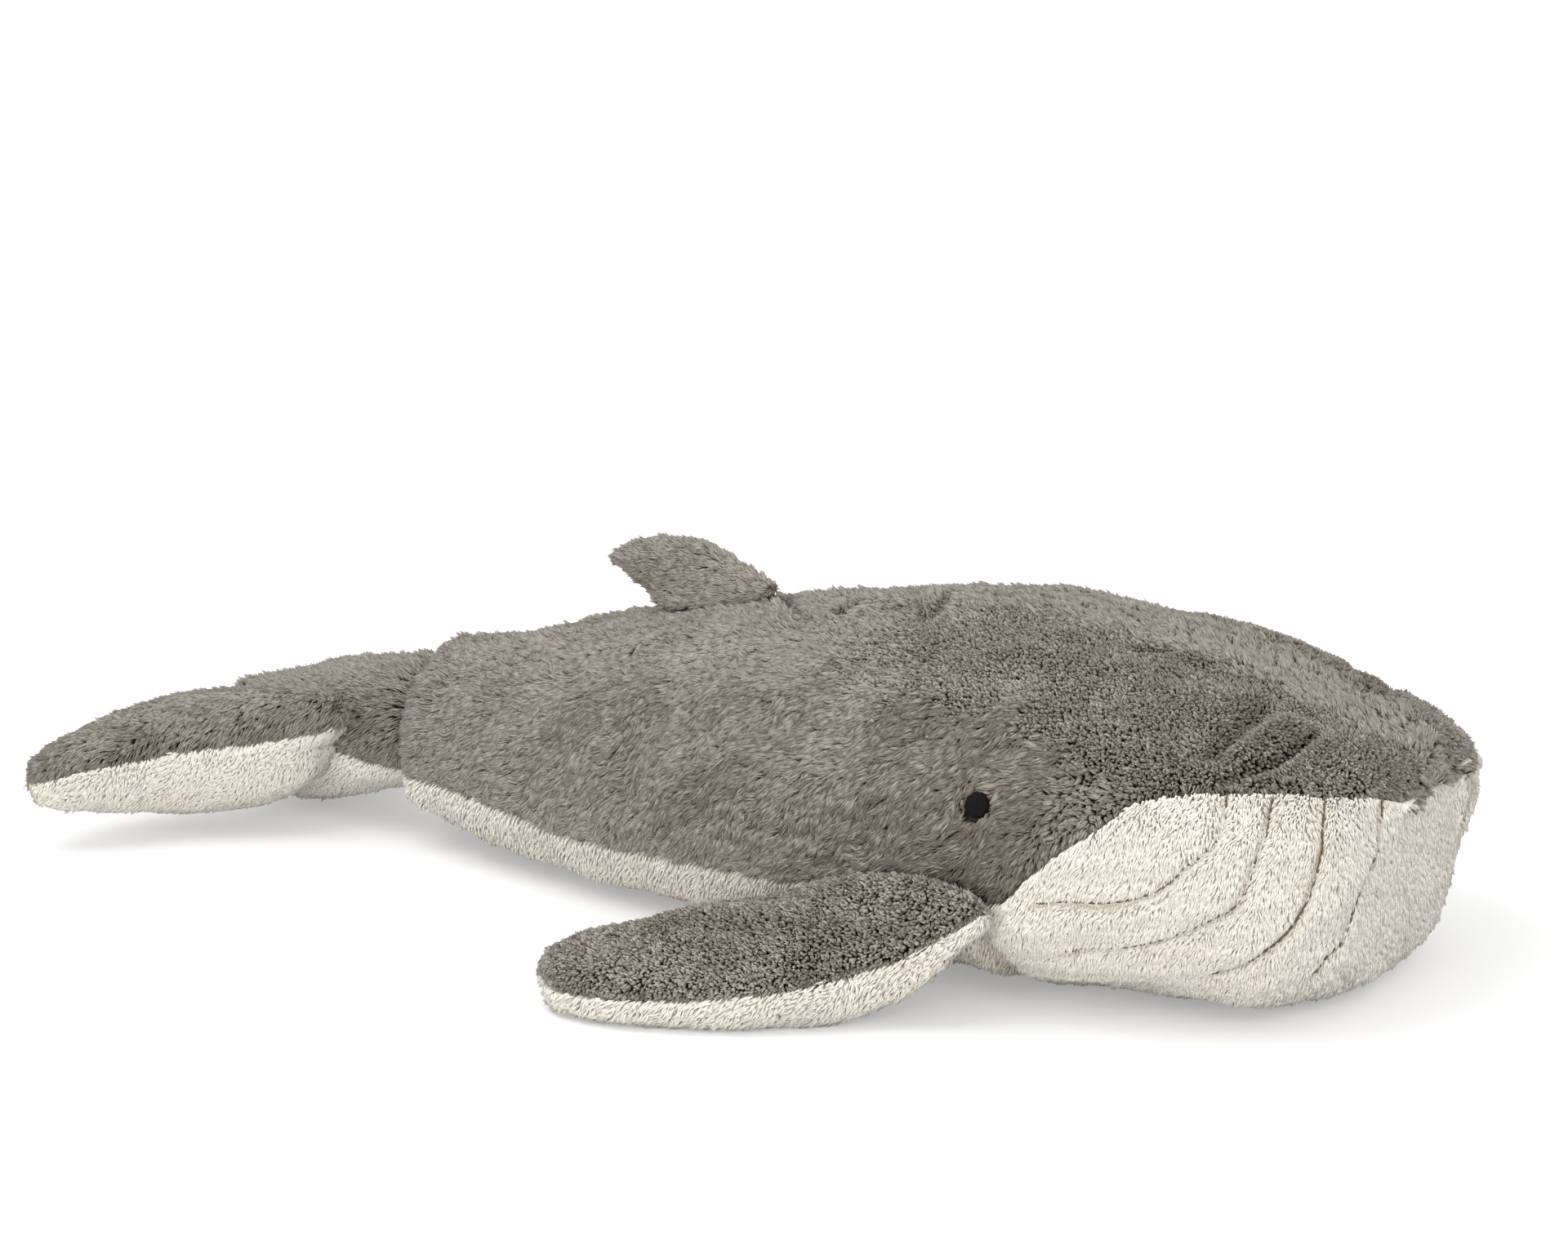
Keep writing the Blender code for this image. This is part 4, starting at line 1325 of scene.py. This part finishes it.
    def pile(self, limbs: dict[str, "Limb"]) -> None:
        """Grow the pile of the body's panels.

        Args:
            limbs: The limbs that are let into the body, by name.
        """
        form = self.form
        naps = self.back_naps()
        eye_gap = self.eye_diameter / 2 + 0.1 * MM
        curls = [(Nap((-0.35, 0.0, -0.8), 0.40, 4.3 * MM, 1.75 * MM, 0.19, ruffle=40, swirl=45,
                      clump=0.12, bend=0.8, bunch=1.6 * MM, mottle=1.5), everywhere)]
        for side in Side:
            right = side is Side.RIGHT
            name = f"back_panel_{side}"
            edges = (form.seam(side), lambda a: np.full(len(a), 90.0))[::1 if right else -1]
            panel = Panel(name, form, GREY_PILE, 0.0, 1.0, *edges, mirrored=not right)
            trees = [limbs[f"pectoral_{side}"].cushion.tree,
                     limbs["dorsal_fin"].cushion.tree, limbs["tail"].cushion.tree]
            shared = {"keep_out": [(self.eyes[side][0], eye_gap)]}
            made = [
                Pile(panel, naps, lambda a, r, p: (1 - eased(a, 0.395, 0.405)), 42000,
                     11 + side.value, "rear_pile", **shared).build(trees),
                Pile(panel, naps, lambda a, r, p: eased(a, 0.395, 0.405)
                     * (1 - self.head_side(a, r, p)), 40000, 21 + side.value, "front_pile",
                     **shared).build(trees),
                Pile(panel, curls, self.head_side, 16000, 31 + side.value, "head_curls",
                     waist=0.76, sides=3, **shared).build(),
            ]
            for piece in made:
                self.cushion.carry(piece)
            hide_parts(name)
        self.pile_underside(limbs)

    def pile_underside(self, limbs: dict[str, "Limb"]) -> None:
        """Grow the cream pile of the belly and the throat."""
        form = self.form
        fluff = Nap((-0.3, 0.0, -0.9), 0.91, 4.8 * MM, 0.62 * MM, 0.84, ruffle=11, swirl=16,
                    clump=0.2, mottle=0.3, flecks=0.02)
        under = Nap((-1.0, 0.0, 0.0), 0.9, 4.2 * MM, 1.2 * MM, 0.78, ruffle=25, mottle=0.4)
        # Darker beige pile along the jaw crease: painted shade in the crease.
        jaw_crease_painted_shade = replace(fluff, tone=0.2)
        crease = next(route for crease, route in form.crease_points if crease is JAW_CREASE)
        mirrored = crease * np.array((1, -1, 1))
        naps = [(fluff, lambda a, r, p: eased(p[:, 2], 2 * MM, 8 * MM)),
                (under, lambda a, r, p: 1 - eased(p[:, 2], 2 * MM, 8 * MM)),
                (jaw_crease_painted_shade, lambda a, r, p: 2 - 2 * eased(np.minimum(
                    route_distance(p, crease)[0], route_distance(p, mirrored)[0]), MM, 6 * MM))]
        lit = (lambda a, r, p: 0.22 + 0.78 * eased(p[:, 2], 1 * MM, 7 * MM))
        routes = [points for crease, points in form.crease_points
                  if crease.width == self.pleat_width]
        trees = [limbs[name].cushion.tree for name in ("pectoral_right", "pectoral_left", "tail")]
        edges = (form.seam(Side.LEFT), lambda a: FULL_TURN + form.seams[Side.RIGHT].at(a))
        belly = Panel("belly_panel", form, CREAM_PILE, 0.0, form.throat_start, *edges)
        throat = Panel("throat_panel", form, CREAM_PILE, form.throat_start, 1.0, *edges)
        made = [Pile(belly, naps, lit, 27000, 41, "pile").build(trees)]
        for side in Side:
            # Angles run from the left seam, under the belly, to the right seam
            half = (lambda a, r, p, s=side: lit(a, r, p) * ((r > 270) == (s is Side.RIGHT)))
            made.append(Pile(throat, naps, half, 37000, 51 + side.value, f"{side}_pile",
                             short_near=routes).build(trees))
        for piece in made:
            self.cushion.carry(piece)
        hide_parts("belly_panel")
        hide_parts("throat_panel")

    def build_eye(self, side: Side) -> None:
        """Make an embroidered eye: a dome of satin stitches with a slightly wavy edge."""
        point, normal = self.eyes[side]
        turns = np.linspace(0, math.pi, self.eye_rings + 1)
        heights = -self.eye_height * np.cos(turns)
        widths = self.eye_diameter / 2 * np.sin(turns)
        foot = np.interp(-self.eye_sunk, heights, widths)
        kept = heights > -self.eye_sunk
        heights = np.concatenate(((-self.eye_sunk,) * 2, heights[kept]))
        widths = np.concatenate(((foot,) * 2, widths[kept]))
        line = heights[:, None] * np.array((0.0, 0.0, 1.0))
        dome = tube(f"eye_{side}_stitches", line, np.array((1.0, 0.0, 0.0)), widths, self.eye_sides)
        places = np.array([v.co for v in dome.data.vertices])
        radius = np.linalg.norm(places[:, :2], axis=1)
        angle = np.arctan2(places[:, 1], places[:, 0])
        rows = np.sin(places[:, 1] / self.eye_row * 2 * math.pi
                      + 0.6 * np.sin(places[:, 0] * 900))
        places[:, 2] += self.eye_row_height * rows * (places[:, 2] > 0)
        edge = 1 + 0.03 * np.sin(7 * angle + 1.0) + 0.02 * np.sin(13 * angle)
        places[:, :2] *= (1 + (edge - 1) * (radius / radius.max()))[:, None]
        turn = Vector(normal).to_track_quat("Z", "Y").to_matrix()
        frame = Matrix.Translation(Vector(point - normal * self.eye_sunk)) @ turn.to_4x4()
        dome.data.vertices.foreach_set("co", places.astype(np.float32).ravel())
        dome.data.transform(frame)
        BLACK_THREAD.dress(dome, f"eye_{side}")
        self.cushion.carry(dome)

    def build_thread(self, side: Side, number: int, route: Sequence[tuple[float, float]]) -> None:
        """Make the dark thread at the bottom of a pleat, one bulge to a stitch.

        Args:
            side: Which side of the throat.
            number: Which pleat, from the back.
            route: Its stations and section angles.
        """
        stations, angles = Crease(tuple(route), 0, 0, points_per_leg=16).spread()
        sewn = angles < self.form.seams[side].at(stations) - 1
        stations, angles = stations[sewn], angles[sewn]
        points, normals = self.form.frames(stations, side.turned(angles))
        points = points + normals * self.thread_raised
        steps = np.concatenate(([0], np.cumsum(np.linalg.norm(np.diff(points, axis=0), axis=1))))
        fine = np.linspace(0, steps[-1], int(steps[-1] / self.thread_step))
        line, outward = (np.stack([np.interp(fine, steps, rows[:, i]) for i in range(3)], axis=-1)
                         for rows in (points, normals))
        outward = unit(outward)
        phase = np.abs(np.sin(math.pi * fine / self.stitch))
        radius = self.thread_radius * (0.55 + 0.6 * phase)
        line = line + outward * (phase * self.stitch_height - self.stitch_sunk)[:, None]
        line[:, 2] = np.maximum(line[:, 2], 1 * MM)
        piece = tube(f"pleat_stitches_{side}_{number}", line, outward, radius, 8)
        BROWN_THREAD.dress(piece, f"pleat_thread_{side}_{number}")
        self.cushion.carry(piece)


def tube(name: str, line: Rows, outward: Rows, radius: Rows,
         sides: int) -> bpy.types.Object:
    """Make a closed tube of changing thickness along a line.

    Args:
        name: The piece's name.
        line: Rows of points along its middle.
        outward: A direction across it at each point.
        radius: Its radius at each point.
        sides: How many sides it has.

    Returns:
        The tube's object.
    """
    forwards = unit(np.gradient(line, axis=0))
    across = unit(np.cross(forwards, outward))
    upright = np.cross(across, forwards)
    angles = np.linspace(0, 2 * math.pi, sides, endpoint=False)
    rings = line[:, None] + radius[:, None, None] * (
        across[:, None] * np.cos(angles)[None, :, None]
        + upright[:, None] * np.sin(angles)[None, :, None])
    rings[0], rings[-1] = line[0], line[-1]
    piece = object_from(name, rings.reshape(-1, 3), grid_faces(len(line), sides))
    turn_outwards(piece)
    return piece


@dataclass
class LimbPanel:
    """One of the two panels of a limb, with how its pile lies."""

    node: str
    finish: PileFinish
    upper: bool
    nap: Nap
    count: int
    waist: float = 0.55
    sides: int = 2
    # A painted tone at the root: darker for shade in a crease, lighter to paint light over shade at a
    # base.
    root_tone: float | None = None


@dataclass
class Limb:
    """A fin, fluke or tail stock: a cushion on a hinge, and its two panels."""

    name: str
    form: LimbForm
    stuffing: str
    parent: str
    bend_start: Point
    bend_end: Point
    panels: tuple[LimbPanel, LimbPanel]
    seed: int
    root: float = -0.75
    pile_from: float = -0.25
    fill: float = 0.75

    def build(self) -> None:
        """Make the closed cover."""
        under = self.panels[1].finish is CREAM_PILE
        self.cushion = Cushion(
            f"{self.name}_cushion", self.form, self.stuffing, self.name, self.parent,
            (self.bend_start, self.bend_end), rows=70, columns=60, first=self.root, fill=self.fill,
            cream_at=(lambda a, r, p: ((r < self.form.seams_at(a)[0])
                                       | (r > self.form.seams_at(a)[1])).astype(float))
            if under else None)
        self.cushion.build()

    def pile(self, hidden_by: Sequence[BVHTree]) -> None:
        """Grow the pile of both panels.

        Args:
            hidden_by: Forms inside which no lock is wanted.
        """
        seams = self.form.seams_at
        for number, item in enumerate(self.panels):
            low = (lambda a: seams(a)[0]) if item.upper else (lambda a: seams(a)[1])
            high = (lambda a: seams(a)[1]) if item.upper else (lambda a: FULL_TURN + seams(a)[0])
            panel = Panel(item.node, self.form, item.finish, self.pile_from, 1.0, low, high,
                          rows=150, columns=90, mirrored=self.form.side is Side.LEFT)
            # Near the root the pile takes the painted root tone, if it has one.
            tone = item.nap.tone if item.root_tone is None else item.root_tone
            naps = [(item.nap, lambda a, r, p: eased(a, 0.0, 0.3)),
                    (replace(item.nap, tone=tone), lambda a, r, p: 1 - eased(a, 0.0, 0.3))]
            pile = Pile(panel, naps, everywhere, item.count, self.seed + number,
                        waist=item.waist, sides=item.sides)
            piece = pile.build(hidden_by)
            self.cushion.carry(piece)
            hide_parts(item.node)


def tail_limb() -> Limb:
    """Describe the tail stock behind the crease."""
    form = LimbForm(
        (-0.15386, 0.0, 0.0432), (0, 1, 0), (0, 0, 1), Side.LEFT, radius=0.025,
        span=course(0.088, *LIMB_STATIONS), drop=course(0.012, *LIMB_STATIONS),
        chord=course(0.053, 1, 1.03, 1.07, 1.08, 1.02, 0.88, 0.64, 0.40, 0),
        crown=course(0.025, 1, 0.99, 0.96, 0.90, 0.84, 0.77, 0.68, 0.52, 0),
        keel=course(0.025, 1, 1.08, 1.18, 1.25, 1.25, 1.13, 0.88, 0.58, 0),
        seam=course(1, 44, 27, 11, 0, -6, -7, -5, 0, 0))
    top = Nap((-0.8, -0.2, -0.5), 0.82, 6.4 * MM, 0.58 * MM, 1.0, clump=0.3)
    under = Nap((-0.6, -0.1, -0.6), 0.86, 4.4 * MM, 0.75 * MM, 0.90, ruffle=16, clump=0.2,
                mottle=0.35)
    return Limb("tail", form, "tail_stuffing", "torso", (-0.1440, 0, 0.0432), (-0.1660, 0, 0.0432),
                # The darker root of the tail's top is painted shade in the crease behind the body.
                (LimbPanel("tail_top_panel", GREY_PILE, True, top, 13000, root_tone=0.5),
                 LimbPanel("tail_under_panel", CREAM_PILE, False, under, 8500)), 101,
                root=-0.8, pile_from=-0.35)


def fluke_limb(side: Side) -> Limb:
    """Describe a fluke. The far one droops a little lower."""
    sign = side.value
    near = side is Side.RIGHT
    form = LimbForm(
        (-0.19886, sign * 0.03231, 0.03706), (1, 0, 0), (0, 0, 1), side,
        radius=0.019,
        sweep=course(0.059, 0.13, 0.19, 0.32, 0.51, 0.69, 0.83, 0.945, 0.985, 1),
        span=course(0.077, 0, 0.06, 0.16, 0.32, 0.50, 0.71, 0.90, 0.97, 1),
        drop=course(0.0075 if near else 0.0160, 0, 0.06, 0.16, 0.34, 0.54, 0.72, 0.9, 0.97, 1),
        turn=course(30, 0, 0.15, 0.4, 0.6, 0.7, 0.8, 0.95, 1, 1),
        tilt=course(4, 0, 0.4, 0.8, 1, 1, 0.8, 0.4, 0.1, 0),
        chord=course(0.078, 0.80, 0.86, 0.83, 0.67, 0.53, 0.41, 0.26, 0.14, 0),
        crown=course(0.019 if near else 0.0140, 1.10, 1.13, 1.14, 1.04, 0.90, 0.74, 0.50, 0.29, 0),
        keel=course(0.0255, 0.745, 0.94, 1.04, 1, 0.86, 0.698, 0.47, 0.282, 0),
        keel_roundness=2.3, rake=1.2, back_share=-0.4,
        seam=course(1, -26, -20, -14, -11, -11, -11, -9, -4, 0))
    name = f"fluke_{side}"
    top = Nap((-0.45, -0.55, -0.75), 0.86, 6.4 * MM, 0.56 * MM, 0.50, clump=0.25, mottle=1.3)
    under = Nap((-0.35, -0.5, -0.7), 0.87, 4.4 * MM, 0.72 * MM, 0.84, ruffle=14, clump=0.2,
                mottle=0.35, flecks=0.015)
    return Limb(name, form, f"{name}_stuffing", "tail",
                (-0.19886, sign * 0.0280, 0.03706), (-0.19886, sign * 0.0500, 0.03706),
                (LimbPanel(f"{name}_top_panel", GREY_PILE, True, top, 15500),
                 LimbPanel(f"{name}_under_panel", CREAM_PILE, False, under, 12500)),
                111 + sign, root=-0.9, pile_from=-0.6)


def pectoral_limb(side: Side) -> Limb:
    """Describe a pectoral fin."""
    sign = side.value
    form = LimbForm(
        (0.11152, sign * 0.10391, 0.03674), (0.9825, sign * 0.1538, 0.1047), (0, 0, 1), side,
        radius=0.011,
        sweep=course(0.0971, 0, 0.112, 0.235, 0.396, 0.55, 0.722, 0.895, 0.971, 1),
        span=course(0.071, 0, 0.11, 0.24, 0.45, 0.65, 0.83, 0.96, 0.99, 1),
        drop=course(0.0148, 0, 0.351, 0.662, 0.851, 0.919, 0.959, 0.986, 1, 1),
        turn=course(45, 0, 0.07, 0.16, 0.36, 0.53, 0.67, 0.93, 1, 1),
        tilt=course(-14, 0, 0.35, 0.68, 0.9, 1, 1, 1, 1, 1),
        chord=course(0.0750, 1, 0.96, 0.88, 0.845, 0.76, 0.625, 0.41, 0.227, 0),
        crown=course(0.0105, 0.797, 0.87, 0.942, 1, 0.957, 0.855, 0.652, 0.4, 0),
        keel=course(0.0225, 0.489, 0.854, 1, 0.829, 0.683, 0.61, 0.478, 0.317, 0),
        keel_roundness=2.6, waviness=0.8 * MM)
    name = f"pectoral_{side}"
    top = Nap((-0.55, -0.45, -0.7), 0.52, 4.6 * MM, 1.40 * MM, 0.36, ruffle=38, swirl=45,
              clump=0.3, bend=0.75, bunch=1.8 * MM, mottle=1.7)
    under = Nap((-0.5, -0.5, -0.6), 0.87, 4.8 * MM, 0.64 * MM, 0.82, ruffle=14, clump=0.3,
                mottle=0.4, flecks=0.03)
    return Limb(name, form, f"{name}_stuffing", "torso",
                (0.11152, sign * 0.1000, 0.03674), (0.11152, sign * 0.1220, 0.03674),
                (LimbPanel(f"{name}_top_panel", GREY_PILE, True, top, 11500, 0.74, 3),
                 LimbPanel(f"{name}_under_panel", CREAM_PILE, False, under, 12000)),
                121 + sign, root=-0.9, pile_from=-0.6)


def dorsal_limb() -> Limb:
    """Describe the dorsal fin."""
    form = LimbForm(
        (-0.01965, 0.0, 0.10719), (0.9801, 0, 0.1987), (0, -1, 0), Side.LEFT,
        radius=0.0065,
        sweep=course(0.039, 0, 0.09, 0.21, 0.34, 0.48, 0.65, 0.85, 0.95, 1),
        span=course(0.0205, 0, 0.18, 0.37, 0.58, 0.75, 0.88, 0.97, 0.99, 1),
        turn=course(30, 0, 0.12, 0.24, 0.37, 0.52, 0.67, 0.9, 1, 1),
        chord=course(0.0537, 1, 0.93, 0.84, 0.77, 0.68, 0.54, 0.34, 0.19, 0),
        crown=course(0.0065, 1, 1, 0.98, 0.95, 0.9, 0.82, 0.65, 0.42, 0),
        keel=course(0.0065, 1, 1, 0.98, 0.95, 0.9, 0.82, 0.65, 0.42, 0), waviness=0.1 * MM,
        seam_depth=0.4 * MM)
    right = Nap((-0.85, 0.0, 0.1), 0.86, 5.4 * MM, 0.58 * MM, 0.60, clump=0.35, mottle=1.4)
    left = replace(right, tone=0.60)
    return Limb("dorsal_fin", form, "dorsal_stuffing", "torso", (-0.0202, 0, 0.1055),
                (-0.0215, 0, 0.1130),
                # The lighter root of the dorsal fin's right side is painted light over the shade at
                # its base.
                (LimbPanel("dorsal_right_panel", GREY_PILE, True, right, 5500, root_tone=0.85),
                 LimbPanel("dorsal_left_panel", GREY_PILE, False, left, 5500)),
                131, root=-0.9, pile_from=-0.5, fill=0.6)


# Floor, light and camera


@dataclass(frozen=True)
class Studio:
    """A plain white floor under plain soft light, and the photographed view."""

    floor_radius: float = 0.85
    target: Point = (0.0092, 0.0, 0.0981)
    distance: float = 1.35
    azimuth: float = 30.0
    elevation: float = 13.0
    lens: float = 85.0
    sensor: float = 36.0
    world_level: float = 0.88
    lamp_table: tuple[tuple[str, Point, float, float], ...] = (
        ("key_lamp", (-0.35, -0.55, 1.25), 0.9, 6.0), ("fill_lamp", (1.1, -0.9, 0.75), 0.8, 6.0),
        ("low_lamp", (-0.1, -1.5, 0.12), 0.8, 5.0))
    clip_range: tuple[float, float] = (0.05, 50)
    floor_level: float = 0.74
    floor_glow: float = 0.30

    def build(self) -> None:
        """Lay the floor, hang the lamps and place the camera."""
        self.lay_floor()
        self.light()
        self.look()

    def seen(self, sheet: NodeSheet) -> Signal:
        """Tell the rays that show the background from those that light the object."""
        path = sheet.node("ShaderNodeLightPath")
        rays = [Signal(sheet, path.outputs[name])
                for name in ("Is Camera Ray", "Is Glossy Ray", "Is Transmission Ray")]
        return rays[0].above(rays[1]).above(rays[2])

    def lay_floor(self) -> None:
        """Make the floor, which looks white and keeps the whale's shadow."""
        bpy.ops.object.select_all(action="DESELECT")
        bpy.ops.mesh.primitive_circle_add(vertices=96, radius=self.floor_radius, fill_type="NGON")
        floor = bpy.context.object
        floor.name = floor.data.name = "studio_floor"
        material, sheet = new_material("studio_floor")
        seen = self.seen(sheet)
        cloth = sheet.tinted(seen, (0.9, 0.9, 0.9), (self.floor_level,) * 3)
        diffuse = sheet.node("ShaderNodeBsdfDiffuse", {}, {"Color": cloth})
        glow = sheet.node("ShaderNodeEmission", {}, {
            "Color": (1, 1, 1, 1), "Strength": seen * self.floor_glow})
        both = sheet.node("ShaderNodeAddShader", {}, {0: diffuse.outputs[0], 1: glow.outputs[0]})
        sheet.close(both.outputs[0])
        floor.data.materials.append(material)

    def light(self) -> None:
        """Light the whale evenly, a little more from above and in front."""
        world = bpy.data.worlds.new("studio_world")
        bpy.context.scene.world = world
        world.use_nodes = True
        sheet = NodeSheet(world.node_tree)
        strength = self.world_level + self.seen(sheet) * (1.0 - self.world_level)
        back = sheet.node("ShaderNodeBackground", {}, {"Color": (1, 1, 1, 1), "Strength": strength})
        sheet.node("ShaderNodeOutputWorld", {}, {"Surface": back.outputs[0]})
        for name, place, size, watts in self.lamp_table:
            lamp = bpy.data.lights.new(name, "AREA")
            lamp.size = size
            lamp.energy = watts
            holder = bpy.data.objects.new(name, lamp)
            holder.location = place
            aim = Vector(self.target) - Vector(place)
            holder.rotation_euler = aim.to_track_quat("-Z", "Y").to_euler()
            bpy.context.scene.collection.objects.link(holder)
        bpy.context.scene.view_settings.view_transform = "Standard"

    def look(self) -> None:
        """Place the camera where the photograph was taken from."""
        camera = bpy.data.cameras.new("photo_camera")
        camera.lens = self.lens
        camera.sensor_width = self.sensor
        camera.clip_start, camera.clip_end = self.clip_range
        holder = bpy.data.objects.new("photo_camera", camera)
        azimuth, elevation = math.radians(self.azimuth), math.radians(self.elevation)
        back = Vector((math.sin(azimuth) * math.cos(elevation),
                       -math.cos(azimuth) * math.cos(elevation), math.sin(elevation)))
        holder.location = Vector(self.target) + back * self.distance
        holder.rotation_euler = back.to_track_quat("Z", "Y").to_euler()
        bpy.context.scene.collection.objects.link(holder)
        bpy.context.scene.camera = holder


def clear_scene() -> None:
    """Remove what a new file holds."""
    for item in list(bpy.data.objects):
        bpy.data.objects.remove(item, do_unlink=True)


def main() -> None:
    """Build the whale's looks on its frame."""
    logging.basicConfig(level=logging.INFO, format="%(name)s: %(message)s")
    clear_scene()
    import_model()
    Studio().build()
    body = Body()
    limbs = {limb.name: limb for limb in (
        tail_limb(), *(fluke_limb(side) for side in Side), *(pectoral_limb(side) for side in Side),
        dorsal_limb())}
    body.build()
    for limb in limbs.values():
        limb.build()
    body.pile(limbs)
    trees = {name: limb.cushion.tree for name, limb in limbs.items()}
    for name, limb in limbs.items():
        around = [body.cushion.tree]
        if name.startswith("fluke"):
            around = [trees["tail"]]
        if name == "tail":
            around += [trees["fluke_right"], trees["fluke_left"]]
        limb.pile(around)


if __name__ == "__main__":
    main()
